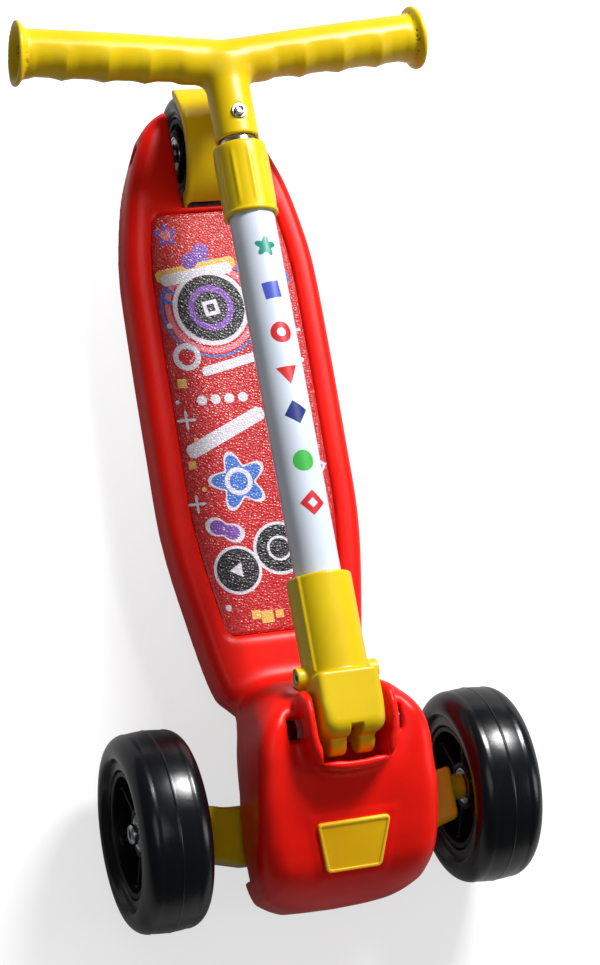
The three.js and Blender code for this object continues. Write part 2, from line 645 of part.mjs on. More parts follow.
function badgeBody(grow, low, high) {
  const half = badgeLength / 2 + grow;
  const [wide, narrow, corner] = [badge.topHalfWidth + grow, badge.bottomHalfWidth + grow, badge.corner];
  const shape = new THREE.Shape();
  shape.moveTo(-wide + corner, half);
  shape.lineTo(wide - corner, half);
  shape.quadraticCurveTo(wide, half, wide - corner / 4, half - corner);
  shape.lineTo(narrow + corner / 4, -half + corner);
  shape.quadraticCurveTo(narrow, -half, narrow - corner, -half);
  shape.lineTo(-narrow + corner, -half);
  shape.quadraticCurveTo(-narrow, -half, -narrow - corner / 4, -half + corner);
  shape.lineTo(-wide + corner / 4, half - corner);
  shape.quadraticCurveTo(-wide, half, -wide + corner, half);
  return prism(shape, 'z', low, high)
    .rotate([badgeSlope / degree, 0, 0])
    .translate([0, badgeMiddle, noseTop(badgeMiddle)]);
}

function deckShell() {
  const outside = noseOutside();
  const inside = noseInside();
  const space = socketSpace(0);
  const lugs = plateScrewPlaces.map(([x, y]) => {
    const ends = onSide(Math.sign(x), Math.abs(x) - nose.lugHalfWidth, nose.halfWidth);
    return box(
      [ends[0], y - nose.lugHalfWidth, nose.bottom + gap],
      [ends[1], y + nose.lugHalfWidth, nose.bottom + nose.lugHeight]);
  });
  const upperBoss = onKingpin(
    rod(upperBossRadius, kingpin.hubHalfLength + bush.flange + 2 * gap, 2 * kingpin.end, 'z'));
  const skin = join(cut(deckBody(), recessCut()), outside, lipWall());
  const hollow = cut(
    join(deckHollow(), inside), socketSpace(socket.wall).subtract(box(
      [-nose.halfWidth, nose.rear, 0], [nose.halfWidth, deck.rear, 2 * fold.z])),
    lugs.map((lug) => lug.intersect(outside)), upperBoss.intersect(outside));
  const windows = [-1, 1].map((side) => {
    const ends = onSide(side, window.from, window.to);
    return box([ends[0], window.front, window.bottom], [ends[1], window.rear, window.top]);
  });
  const boltRecesses = [-1, 1].map((side) => {
    const ends = onSide(side, socket.lipHalfWidth, socket.lipHalfWidth + bolt.nutHeight + 3 * gap);
    return rod(bolt.nutRadius + 2 * gap, ...ends, 'x', foldPlace);
  });
  const screwEnd = plate.top + plateScrew.length;
  const screwHoles = plateScrewPlaces.map(([x, y]) =>
    rod(plateScrew.radius + gap, nose.bottom - overrun, screwEnd, 'z', [x, y, 0], facets.slight));
  const cheekEnd = socket.lipHalfWidth + overrun;
  return cut(
    skin, hollow, space, lipFlare(), slotCuts(), windows, screwHoles,
    onKingpin(rod(bolt.radius + gap, 0, kingpin.end + 2 * gap, 'z', origin, facets.small)),
    rod(bolt.radius + gap, -cheekEnd, cheekEnd, 'x', foldPlace),
    boltRecesses,
    box([-latch.halfWidth - gap, latch.front - gap, fold.z - socket.swing - 2 * overrun],
      [latch.halfWidth + gap, latch.rear + gap, fold.z - socket.swing + overrun]),
    badgeBody(gap, badge.proud - badge.thickness - gap, overrun));
}

// Front axle and its pivot

// A section of the beam at x, with each corner as two points of its rounding.
function beamSection(x, [rear, front, below, above]) {
  const [high, low] = [axle.height + above * beam.above, axle.height - below * beam.below];
  const corners = [[1, -1], [1, 1], [-1, 1], [-1, -1]];
  return corners.flatMap(([back, up]) => [-1, 1].map((turn) => {
    const angle = Math.atan2(up, back) + (turn * rightAngle) / 3;
    const y = (back > 0 ? rear * beam.rear : -front * beam.front) - back * beam.corner;
    const z = (up > 0 ? high : low) - up * beam.corner;
    return new THREE.Vector3(x, y + beam.corner * Math.cos(angle), z + beam.corner * Math.sin(angle));
  }));
}

function axleBeam() {
  const right = beamShares.map(([x, ...reach]) => beamSection(x * axle.armEnd, reach));
  const left = beamShares.slice(1).map(([x, ...reach]) => beamSection(-x * axle.armEnd, reach)).reverse();
  const spar = loft([...left, ...right]);
  const centre = [0, 0, axle.height];
  const boss = frontWheel.halfTrack - frontWheel.innerHub - gap;
  const kingpinHub = onKingpin(
    rod(kingpin.hubRadius, -kingpin.hubHalfLength, kingpin.hubHalfLength, 'z', origin, facets.broad));
  const body = join(spar, kingpinHub, rod(axle.bossRadius, -boss, boss, 'x', centre));
  const nutTraps = [-1, 1].map((side) => {
    const ends = onSide(side, axle.nutAt - gap, axle.nutAt + bolt.nutHeight + gap);
    const reach = bolt.nutRadius + gap;
    return box([ends[0], -reach, 0], [ends[1], reach, axle.height + reach]);
  });
  const bores = [-1, 1].map((side) => {
    const ends = onSide(side, axle.nutAt - 2 * bolt.radius, boss + overrun);
    return rod(bolt.radius + gap, ...ends, 'x', centre, 16);
  });
  const pivotBore = onKingpin(
    rod(bush.radius + gap, -2 * kingpin.hubHalfLength, 2 * kingpin.hubHalfLength, 'z'));
  const faces = [-1, 1].map((side) => {
    const ends = onSide(side, kingpin.hubHalfLength, kingpin.hubHalfLength + 3 * overrun);
    return onKingpin(rod(kingpin.hubRadius + gap, ...ends, 'z', origin, facets.broad));
  });
  return cut(body, nutTraps, bores, pivotBore, faces);
}

// A flanged rubber sleeve for one end of the beam's hub; side is 1 for the upper end.
function bushBody(side) {
  const far = kingpin.hubHalfLength + bush.flange + gap;
  const near = kingpin.hubHalfLength + gap;
  const sleeve = turned([
    [bolt.radius + gap, gap], [bush.radius, gap], [bush.radius, near], [bush.flangeRadius, near],
    [bush.flangeRadius, far], [bolt.radius + gap, far], [bolt.radius + gap, gap],
  ].map(([r, h]) => [r, side * h]), 'z');
  return onKingpin(sleeve);
}

function kingpinBody() {
  return onKingpin(join(
    rod(bolt.radius, kingpin.headAt + bolt.headHeight / 2, kingpin.end, 'z', origin, facets.small),
    hexagon(bolt.headRadius, kingpin.headAt, kingpin.headAt + bolt.headHeight, 'z')));
}

function steeringPlate() {
  const line = inset(mirroredOutline(
    nosePlan.map(([x, y]) => [x * plateShares.wide, y * plateShares.long]), plateSteps), plate.inset);
  const sheet = loft([raised(line, plate.top - plate.thickness), raised(line, plate.top)]);
  const boss = onKingpin(rod(
    lowerBossRadius, -2 * kingpin.end, -kingpin.hubHalfLength - bush.flange - 2 * gap, 'z'))
    .subtract(box(
      [-nose.halfWidth, -nose.rear, -nose.rear], [nose.halfWidth, nose.rear, plate.top - plate.thickness]));
  const [half, middle] = [latch.guideHalf, (latch.front + latch.rear) / 2];
  const guide = box(
    [-half, middle - half, plate.top - plate.thickness], [half, middle + half, latch.guideTop]);
  const screws = plateScrewPlaces.map(([x, y]) =>
    rod(plateScrew.radius + gap, 0, plate.top + overrun, 'z', [x, y, 0], facets.slight));
  const headTop = kingpin.headAt + bolt.headHeight + gap;
  return cut(
    join(sheet, boss, guide), screws,
    onKingpin(rod(bolt.radius + gap, -2 * kingpin.end, 0, 'z', origin, facets.small)),
    onKingpin(rod(bolt.headRadius + 2 * gap, -2 * kingpin.end, headTop, 'z', origin, facets.small)),
    box([-latch.halfWidth - gap, latch.front - gap, 0],
      [latch.halfWidth + gap, latch.rear + gap, latch.guideTop + overrun]));
}

function plateScrewBody([x, y]) {
  const seat = plate.top - plate.thickness - gap;
  return join(
    rod(plateScrew.headRadius, seat - plateScrew.headHeight, seat, 'z', [x, y, 0], facets.thin),
    rod(plateScrew.radius, seat - gap, plate.top + plateScrew.length - gap, 'z', [x, y, 0], facets.slight));
}

// Latch of the fold joint: a tongue under the block, pulled down by a tab below the nose

function latchBody() {
  const top = fold.z - block.halfHeight - 2 * gap;
  const middle = (latch.front + latch.rear) / 2;
  return join(
    box([-latch.halfWidth, latch.front, latch.bottom], [latch.halfWidth, latch.rear, top]),
    box([-latch.collarHalf, middle - latch.collarHalf, latch.collarAt],
      [latch.collarHalf, middle + latch.collarHalf, latch.collarAt + latch.collarHeight]),
    box([-latch.tabHalfWidth, latch.front - gap, latch.bottom],
      [latch.tabHalfWidth, latch.tabRear, latch.bottom + latch.tabHeight]));
}

const latchSpringBody = () => coil(
  latchSpring, latch.guideTop + gap, latch.collarAt - gap,
  new THREE.Vector3(0, (latch.front + latch.rear) / 2, 0));

// Fold block and stem, drawn along +Y from the fold bolt with +Z away from the deck

function foldBlock() {
  const { halfHeight: tall, front, rear, frontRound: round } = block;
  const side = new THREE.Shape();
  side.moveTo(rear, -tall);
  side.lineTo(rear, tall);
  side.lineTo(front + round, tall);
  side.quadraticCurveTo(front, tall, front, tall - round);
  side.lineTo(front, round - tall);
  side.quadraticCurveTo(front, -tall, front + round, -tall);
  const body = prism(side, 'x', -block.halfWidth, block.halfWidth);
  const foot = new THREE.Shape();
  const heel = block.footHalfHeight;
  foot.moveTo(front + round, heel);
  foot.lineTo(heel - block.footReach, heel);
  foot.absarc(heel - block.footReach, 0, heel, rightAngle, 3 * rightAngle, false);
  foot.lineTo(front + round, -heel);
  const feet = [-1, 1].map((sign) => {
    const ends = onSide(sign, block.footInner, block.footOuter);
    return prism(foot, 'x', ...ends);
  });
  const sleeve = rod(block.sleeveRadius, rear - gap, block.sleeveEnd, 'y', origin, facets.sleeve);
  const bosses = rod(stemBolt.bossRadius, -stemBolt.bossEnd, stemBolt.bossEnd, 'x', stemBoltPlace);
  const seats = [-1, 1].map((sign) => {
    const ends = onSide(sign, stemBolt.bossEnd - stemBolt.headDepth - gap, stemBolt.bossEnd + overrun);
    return rod(stemBolt.headRadius + gap, ...ends, 'x', stemBoltPlace);
  });
  return cut(
    join(body, feet, sleeve, bosses), seats,
    rod(tube.radius + gap, tube.from - gap, block.sleeveEnd + overrun, 'y', origin, facets.sleeve),
    rod(bolt.radius + gap, -2 * block.halfWidth, 2 * block.halfWidth, 'x'),
    rod(stemBolt.radius + gap, -2 * block.halfWidth, 2 * block.halfWidth, 'x', stemBoltPlace, facets.small),
    box([-block.footInner, -2 * block.footReach, -2 * tall], [block.footInner, block.slotEnd, 2 * tall]));
}

function stemBoltBody() {
  const end = stemBolt.bossEnd - stemBolt.headDepth;
  return join(
    rod(stemBolt.radius, -end - gap, end + stemBolt.headDepth / 2, 'x', stemBoltPlace, facets.thin),
    rod(stemBolt.headRadius, -stemBolt.bossEnd, -end, 'x', stemBoltPlace, facets.small));
}

const stemNutBody = () => hexagon(
  stemBolt.headRadius, stemBolt.bossEnd - stemBolt.headDepth, stemBolt.bossEnd, 'x', stemBoltPlace)
  .subtract(rod(stemBolt.radius + gap, 0, 2 * stemBolt.bossEnd, 'x', stemBoltPlace, facets.thin));

const stemTube = () => ring(
  tube.radius - tube.wall, tube.radius, tube.from, tube.to, 'y', origin, facets.sleeve)
  .subtract(rod(stemBolt.radius + gap, -2 * tube.radius, 2 * tube.radius, 'x', stemBoltPlace, facets.small));

function stemCollar() {
  const inner = tube.radius + gap;
  const mouth = innerTube.radius + gap;
  const lipEnd = collar.from + collar.lipHeight;
  const shell = turned([
    [inner, collar.from], [collar.lipRadius, collar.from], [collar.lipRadius, lipEnd - collar.chamfer],
    [collar.bottomRadius, lipEnd], [collar.topRadius, collar.to - collar.chamfer],
    [collar.topRadius - collar.chamfer, collar.to], [mouth, collar.to],
    [mouth, collar.to - collar.cap], [inner, collar.to - collar.cap], [inner, collar.from],
  ], 'y', origin, facets.broad);
  const ridges = Array.from({ length: collarRidge.count }, (_, i) => {
    const length = collar.to - collar.from - collar.lipHeight - collarRidge.inset;
    const geometry = new THREE.BoxGeometry(collarRidge.width, length, 2 * collarRidge.height);
    geometry.translate(0, lipEnd + length / 2 - gap, (collar.topRadius + collar.bottomRadius) / 2);
    geometry.rotateY((i / collarRidge.count) * 2 * Math.PI);
    return solid(geometry);
  });
  return join(shell, ridges);
}

const clampRingBody = () => ring(
  innerTube.radius + gap, tube.radius - tube.wall - gap, clampRing.from, clampRing.to, 'y', origin,
  facets.broad).subtract(box(
  [-clampRing.slit / 2, clampRing.from - overrun, -2 * tube.radius],
  [clampRing.slit / 2, clampRing.to + overrun, 0]));

const innerTubeBody = () => ring(
  innerTube.radius - innerTube.wall, innerTube.radius, innerTube.from, innerTube.to, 'y', origin,
  facets.sleeve).subtract(rod(
  handleBolt.radius + gap, -2 * tube.radius, 2 * tube.radius, 'z', handleBoltPlace, facets.thin));

// Handlebar: round arms that rise from the middle, with finger bumps below and flared open ends

function gripRadius(t) {
  const bar = handle.middleRadius + (handle.gripRadius - handle.middleRadius) * blend(0, handle.gripFull, t);
  const flare = blend(handle.reach - handle.flangeLength, handle.reach - handle.flangeLength / 4, t);
  return bar + (handle.flangeRadius - handle.gripRadius) * flare ** 2;
}

function bumpDip(t) {
  const place = (t - handle.bumpStart) / handle.bumpPitch;
  const fade = blend(...bumpFadeShares.start, place) * (1 - blend(...bumpFadeShares.end, place));
  const share = place - Math.floor(place);
  return handle.bumpDepth * fade * Math.min(1, bumpForm.steepness * Math.min(share, 1 - share));
}

function gripArm(sign) {
  const bumps = bumpShares.map((share) => handle.bumpStart + share * handle.bumpPitch);
  const end = flangeShares.map((share) => handle.reach - share * handle.flangeLength);
  const sides = 14;
  const rings = [0, ...bumps, ...end].map((t) => Array.from({ length: sides }, (_, j) => {
    const angle = (j / sides) * 2 * Math.PI;
    const below = Math.max(0, -Math.cos(angle));
    const radius = gripRadius(t) - bumpDip(t) * below ** bumpForm.spread;
    return new THREE.Vector3(sign * t, radius * Math.cos(angle), radius * Math.sin(angle));
  }));
  const mouth = turned([
    [0, handle.reach - handle.mouthDepth], [handle.mouthEnd, handle.reach - handle.mouthDepth],
    [handle.mouthThroat, handle.reach - handle.flangeLength], [handle.mouthRadius, handle.reach],
    [handle.mouthRadius, handle.reach + overrun], [0, handle.reach + overrun],
  ].map(([r, h]) => [r, sign * h]), 'x');
  return cut(loft(rings), mouth).rotate([0, 0, (sign * handle.rise) / degree]).translate([0, handle.bar, 0]);
}

function tHandle() {
  const neck = rod(handle.socketRadius, handle.socketFrom, handle.bar, 'y', origin, facets.sleeve);
  const across = 2 * handle.socketRadius;
  const seats = [-1, 1].map((sign) => {
    const ends = onSide(sign, handleBolt.seat, across);
    return rod(handleBolt.washerRadius + gap, ...ends, 'z', handleBoltPlace, facets.small);
  });
  return cut(
    join(neck, gripArm(-1), gripArm(1)), seats,
    rod(innerTube.radius + gap, handle.socketFrom - overrun, innerTube.to + gap, 'y', origin, facets.sleeve),
    rod(handleBolt.radius + gap, -across, across, 'z', handleBoltPlace, facets.thin));
}

const handleSeat = handleBolt.seat + gap;
const washerTop = handleSeat + handleBolt.washerHeight;
const handleWasher = () => ring(
  handleBolt.radius + gap, handleBolt.washerRadius, handleSeat, washerTop, 'z', handleBoltPlace,
  facets.small);
function handleBoltBody() {
  const [end, head] = [washerTop + handleBolt.headHeight, washerTop + gap];
  return join(
    rod(handleBolt.radius, -end, washerTop + 2 * gap, 'z', handleBoltPlace, facets.thin),
    rod(handleBolt.headRadius, head, head + handleBolt.headHeight, 'z', handleBoltPlace, facets.small));
}
const handleNut = () => hexagon(
  handleBolt.washerRadius, -handleSeat - handleBolt.headHeight, -handleSeat, 'z', handleBoltPlace)
  .subtract(rod(handleBolt.radius + gap, -2 * tube.radius, 0, 'z', handleBoltPlace, facets.thin));

// Rear brake: a fender over the wheel on a pin in front of it

function brakeFender() {
  const [y, z] = [rearWheel.axleY, rearWheel.radius];
  const sector = (inner, outer) => {
    const shape = new THREE.Shape();
    shape.absarc(y, z, outer, brake.rearAngle * degree, brake.frontAngle * degree, false);
    shape.absarc(y, z, inner, brake.frontAngle * degree, brake.rearAngle * degree, true);
    return shape;
  };
  const cover = prism(sector(brake.inner, brake.outer), 'x', -brake.halfWidth, brake.halfWidth);
  const frontFoot = (radius) => [
    y + radius * Math.cos(brake.frontAngle * degree), z + radius * Math.sin(brake.frontAngle * degree)];
  const sides = [-1, 1].flatMap((sign) => {
    const ends = onSide(sign, brake.halfWidth - brake.earThickness, brake.halfWidth);
    const [outerY, outerZ] = frontFoot(brake.outer - gap);
    const [innerY, innerZ] = frontFoot(brake.inner - brake.skirt);
    const ear = [
      [outerY, outerZ], [slot.front + 2 * gap, recessFloor - 2 * gap],
      [brake.pivotY - brake.tubeRadius, brake.pivotZ], [brake.pivotY, brake.pivotZ - brake.tubeRadius],
      [innerY + brake.skirt, innerZ - brake.skirt], [innerY + 2 * brake.skirt, innerZ + brake.skirt],
    ];
    return [
      prism(sector(brake.inner - brake.skirt, brake.outer), 'x', ...ends), prism(ear, 'x', ...ends),
      rod(brake.tubeRadius, ...onSide(sign, brake.springHalf + gap, brake.halfWidth),
        'x', brakePlace, facets.small),
    ];
  });
  return cut(join(cover, sides), rod(
    brake.pinRadius + gap, -2 * brake.halfWidth, 2 * brake.halfWidth, 'x', brakePlace, facets.thin));
}

// Scene graph

function materialOf(finish) {
  return new THREE.MeshStandardMaterial({
    color: finish.color, roughness: finish.roughness, metalness: finish.metalness });
}

function piece(name, body, finish) {
  const mesh = new THREE.Mesh(geometryOf(body), materialOf(finish));
  mesh.name = name;
  return mesh;
}

function frontWheelGroup(name, side) {
  const group = new THREE.Group();
  group.position.set(side * frontWheel.halfTrack, 0, axle.height);
  if (side < 0) group.rotation.z = Math.PI;
  const outerSeat = frontWheel.outerHub - bearing.width;
  const innerSeat = -frontWheel.innerHub;
  const headAt = frontWheel.outerHub + gap;
  const nutAt = axle.nutAt - frontWheel.halfTrack;
  const shank = join(
    rod(bolt.radius, nutAt - gap, headAt + gap, 'x', origin, facets.small),
    rod(bolt.headRadius, headAt, headAt + bolt.headHeight, 'x'))
    .subtract(hexagon(bolt.headRadius / 2, headAt + bolt.headHeight / 2, headAt + 2 * bolt.headHeight, 'x'));
  const nut = hexagon(bolt.nutRadius, nutAt, nutAt + bolt.nutHeight, 'x')
    .subtract(rod(bolt.radius + gap, nutAt - overrun, 0, 'x', origin, facets.small));
  group.add(
    piece(`${name}_tyre`, tyre(frontWheel, wheelSteps.front), finishes.tyre),
    piece(`${name}_hub`, hub(frontWheel, wheelSteps.hub), finishes.blackPlastic),
    piece(`${name}_outer_bearing`, bearingSolid(outerSeat), finishes.steel),
    piece(`${name}_inner_bearing`, bearingSolid(innerSeat), finishes.steel),
    piece(`${name}_spacer`, spacerSolid(innerSeat + bearing.width + gap, outerSeat - gap), finishes.steel),
    piece(`${name}_axle_bolt`, shank, finishes.steel),
    piece(`${name}_axle_nut`, nut, finishes.steel));
  return group;
}

function rearWheelGroup() {
  const group = new THREE.Group();
  group.position.set(0, rearWheel.axleY, rearWheel.radius);
  const seat = rearWheel.outerHub - bearing.width;
  const ends = slot.counterbore + gap;
  const shank = join(
    rod(bolt.radius, -ends - gap, ends + bolt.nutHeight - gap, 'x', origin, facets.small),
    rod(bolt.headRadius, -ends - bolt.headHeight, -ends, 'x'));
  const nut = hexagon(bolt.headRadius, ends, ends + bolt.nutHeight, 'x')
    .subtract(rod(bolt.radius + gap, 0, 2 * ends, 'x', origin, facets.small));
  group.add(
    piece('rear_tyre', tyre(rearWheel, wheelSteps.rear), finishes.tyre),
    piece('rear_hub', hub(rearWheel, wheelSteps.hub), finishes.blackPlastic),
    piece('rear_left_bearing', bearingSolid(seat), finishes.steel),
    piece('rear_right_bearing', bearingSolid(-rearWheel.innerHub), finishes.steel),
    piece('rear_left_spacer', spacerSolid(rearWheel.outerHub + gap, slot.halfWidth - gap), finishes.steel),
    piece('rear_right_spacer', spacerSolid(gap - slot.halfWidth, -rearWheel.innerHub - gap), finishes.steel),
    piece('rear_axle_bolt', shank, finishes.steel),
    piece('rear_axle_nut', nut, finishes.steel));
  return group;
}

function brakeGroup() {
  const group = new THREE.Group();
  const spring = new THREE.Group();
  spring.position.set(-brake.springHalf, brake.pivotY, brake.pivotZ);
  spring.rotation.y = rightAngle;
  const wire = coil(brakeSpring, 0, 2 * brake.springHalf, new THREE.Vector3());
  const pin = rod(brake.pinRadius, -brake.pinEnd, brake.pinEnd, 'x', brakePlace, facets.thin);
  spring.add(piece('brake_spring', wire, finishes.steel));
  group.add(
    piece('brake_fender', brakeFender(), finishes.yellowPlastic),
    piece('brake_pin', pin, finishes.steel),
    spring);
  return group;
}

function stemGroup() {
  const group = new THREE.Group();
  group.position.set(0, fold.y, fold.z);
  group.rotation.x = fold.slope;
  group.add(
    piece('fold_block', foldBlock(), finishes.yellowPlastic),
    piece('stem_bolt', stemBoltBody(), finishes.steel),
    piece('stem_nut', stemNutBody(), finishes.steel),
    piece('stem_tube', stemTube(), finishes.whiteTube),
    piece('clamp_ring', clampRingBody(), finishes.blackPlastic),
    piece('stem_collar', stemCollar(), finishes.yellowPlastic),
    piece('inner_tube', innerTubeBody(), finishes.steel),
    piece('t_handle', tHandle(), finishes.yellowPlastic),
    piece('handle_bolt', handleBoltBody(), finishes.steel),
    piece('handle_washer', handleWasher(), finishes.steel),
    piece('handle_nut', handleNut(), finishes.steel));
  return group;
}

function deckGroup() {
  const group = new THREE.Group();
  const cheek = socket.lipHalfWidth + gap;
  const foldBolt = join(
    rod(bolt.radius, -cheek - gap, cheek + bolt.nutHeight - gap, 'x', foldPlace, facets.small),
    hexagon(bolt.headRadius, -cheek - bolt.headHeight, -cheek, 'x', foldPlace));
  const foldNut = hexagon(bolt.headRadius, cheek, cheek + bolt.nutHeight, 'x', foldPlace)
    .subtract(rod(bolt.radius + gap, 0, 2 * cheek, 'x', foldPlace, facets.small));
  group.add(
    piece('deck_shell', deckShell(), finishes.redPlastic),
    piece('deck_mat', matSolid(), finishes.mat),
    piece('nose_badge', badgeBody(0, badge.proud - badge.thickness, badge.proud), finishes.badgePlastic),
    piece('fold_bolt', foldBolt, finishes.steel),
    piece('fold_nut', foldNut, finishes.steel),
    piece('axle_beam', axleBeam(), finishes.yellowPlastic),
    piece('kingpin', kingpinBody(), finishes.steel),
    piece('upper_bush', bushBody(1), finishes.rubber),
    piece('lower_bush', bushBody(-1), finishes.rubber),
    piece('steering_plate', steeringPlate(), finishes.blackPlastic),
    piece('fold_latch', latchBody(), finishes.blackPlastic),
    piece('latch_spring', latchSpringBody(), finishes.steel));
  plateScrewPlaces.forEach((place, i) =>
    group.add(piece(`plate_screw_${i + 1}`, plateScrewBody(place), finishes.steel)));
  return group;
}

const scooter = new THREE.Group();
scooter.add(
  deckGroup(), stemGroup(), rearWheelGroup(), brakeGroup(),
  frontWheelGroup('left_wheel', 1), frontWheelGroup('right_wheel', -1));

// The origin is the middle of the scooter's footprint, on the floor.
scooter.updateMatrixWorld(true);
const extent = new THREE.Box3().setFromObject(scooter, true);
const footprint = extent.getCenter(new THREE.Vector3());
scooter.position.set(-footprint.x, -footprint.y, -extent.min.z);

console.log('latch spring, least gap between turns, mm:',
  coilGap(latchSpring, latch.guideTop + gap, latch.collarAt - gap).toFixed(2));
console.log('brake spring, least gap between turns, mm:',
  coilGap(brakeSpring, 0, 2 * brake.springHalf).toFixed(2));

export default scooter;
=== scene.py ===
"""Looks of a three wheel kids scooter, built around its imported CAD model.

Sizes are in millimetres in the drawing's own frame: x and y from the front axle's middle, z from the
floor. Meshes are made in that frame, and Placement carries them into the model's frame in metres.
"""

import json
import logging
from dataclasses import dataclass, field
from enum import Enum
from typing import Callable, Sequence

import bpy
import numpy as np
from mathutils import Matrix, Vector

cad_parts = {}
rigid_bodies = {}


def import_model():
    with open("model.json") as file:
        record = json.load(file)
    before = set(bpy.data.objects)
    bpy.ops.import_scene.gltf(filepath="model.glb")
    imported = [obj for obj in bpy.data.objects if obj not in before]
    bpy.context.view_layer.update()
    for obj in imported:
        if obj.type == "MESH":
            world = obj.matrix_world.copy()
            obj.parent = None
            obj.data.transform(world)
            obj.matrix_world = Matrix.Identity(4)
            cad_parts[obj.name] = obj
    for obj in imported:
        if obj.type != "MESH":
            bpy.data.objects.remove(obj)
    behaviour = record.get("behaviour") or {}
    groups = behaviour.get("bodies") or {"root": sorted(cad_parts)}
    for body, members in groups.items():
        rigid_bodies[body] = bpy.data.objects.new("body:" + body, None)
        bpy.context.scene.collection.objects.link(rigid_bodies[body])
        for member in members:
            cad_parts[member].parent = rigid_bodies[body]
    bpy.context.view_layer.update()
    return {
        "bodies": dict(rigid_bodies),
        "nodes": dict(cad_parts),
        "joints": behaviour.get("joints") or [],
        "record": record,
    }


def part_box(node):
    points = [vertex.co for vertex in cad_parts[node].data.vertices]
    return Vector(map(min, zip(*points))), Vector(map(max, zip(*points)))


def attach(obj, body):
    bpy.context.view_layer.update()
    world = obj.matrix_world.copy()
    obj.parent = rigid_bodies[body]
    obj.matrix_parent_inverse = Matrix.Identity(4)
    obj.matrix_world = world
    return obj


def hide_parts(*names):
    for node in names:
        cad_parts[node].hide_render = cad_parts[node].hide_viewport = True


log = logging.getLogger("scooter")
Array = np.ndarray
Field = Callable[[Array, Array, Array], Array]
Point = Sequence[float]
Rows = Sequence[tuple[float, float]]

MM = 0.001
TURN = 2 * np.pi
TINY = 1e-6  # keeps divisors off zero
GAP = 0.3  # room between pieces that don't move against each other

# Lines along X that several pieces share, as y and z, and how far the front wheels are from the middle

FOLD_BOLT = (40.0, 134.0)
FRONT_AXLE = (0.0, 60.0)
REAR_AXLE = (431.5, 38.0)
FRONT_WHEEL_X = 103.4
SIDES = ((1, "left"), (-1, "right"))


class Slot(Enum):
    """Material slots of the record."""

    RED = "red_plastic"
    PRINT = "deck_print"
    BADGE = "badge_plastic"
    YELLOW = "yellow_plastic"
    WHEEL = "wheel_black"
    BLACK = "black_plastic"
    RUBBER = "rubber"
    TUBE = "white_tube"
    STEEL = "steel"


class Axis(Enum):
    """Directions that a turned piece or a bolt can run in."""

    X = 0
    Y = 1
    Z = 2


# Curves and blends


def line_through(rows: Rows, at: Array) -> Array:
    """Smooth line through a table: a cubic between rows, with slopes from the rows beside them.

    Args:
        rows: Pairs of place and value, with rising places.
        at: Places to read.

    Returns:
        The values at the places, held level past both ends.
    """
    place, value = np.asarray(rows, float).T
    slope = np.gradient(value, place)
    at = np.clip(at, place[0], place[-1])
    i = np.clip(np.searchsorted(place, at, side="right") - 1, 0, len(place) - 2)
    span = place[i + 1] - place[i]
    t = (at - place[i]) / span
    start = value[i] * (1 + 2 * t) * (1 - t) ** 2 + span * slope[i] * t * (1 - t) ** 2
    end = value[i + 1] * t**2 * (3 - 2 * t) + span * slope[i + 1] * t**2 * (t - 1)
    return start + end


def smoothstep(low: float | Array, high: float | Array, value: Array) -> Array:
    """Rise from 0 at low to 1 at high along 3t^2 - 2t^3."""
    t = np.clip((value - low) / (high - low), 0, 1)
    return t * t * (3 - 2 * t)


def between(low: float, high: float, share: float | Array) -> float | Array:
    """Value at a share of the way from low to high."""
    return low + (high - low) * share


def joined(a: Array, b: Array, fillet: float) -> Array:
    """Union of two fields, with the hollow corner between them filled over the fillet's reach."""
    t = np.clip(0.5 + 0.5 * (b - a) / fillet, 0, 1)
    return b * (1 - t) + a * t - fillet * t * (1 - t)


def common(a: Array, b: Array, rounding: float) -> Array:
    """What two fields share, with the corner between them rounded."""
    return -joined(-a, -b, rounding)


def without(a: Array, b: Array, rounding: float) -> Array:
    """The first field less the second, with rounded edges."""
    return common(a, -b, rounding)


def slab(value: Array, low: float, high: float) -> Array:
    """Distance outside the band between two planes."""
    return np.maximum(low - value, value - high)


def off_line(u: Array, v: Array, at: tuple[float, float] = (0.0, 0.0)) -> Array:
    """Distance off a line that crosses the plane of two coordinates squarely, at a place of it."""
    return np.hypot(u - at[0], v - at[1])


def rounded_box(x: Array, y: Array, z: Array, low: Point, high: Point, radius: float) -> Array:
    """Distance to a box with rounded edges: the length of the part outside a smaller box, less the radius.

    Args:
        x, y, z: Places.
        low: Lowest corner.
        high: Highest corner.
        radius: Radius of every edge.

    Returns:
        Signed distances.
    """
    parts = [slab(value, a + radius, b - radius) for value, a, b in zip((x, y, z), low, high)]
    outside = np.sqrt(sum(np.maximum(part, 0) ** 2 for part in parts))
    inside = np.minimum(np.maximum(np.maximum(parts[0], parts[1]), parts[2]), 0)
    return outside + inside - radius


def rounded_corner(u: Array, v: Array, radius: float) -> Array:
    """Distance past a rounded corner, from the distances past two planes that lie one radius inside it."""
    return np.hypot(np.maximum(u, 0), np.maximum(v, 0)) + np.minimum(np.maximum(u, v), 0) - radius


def rounded_rod(off_axis: Array, along: Array, radius: float, low: float, high: float, edge: float) -> Array:
    """Distance to a rod with rounded ends, from the distance off its axis and the place along it."""
    return rounded_corner(off_axis - (radius - edge), slab(along, low + edge, high - edge), edge)


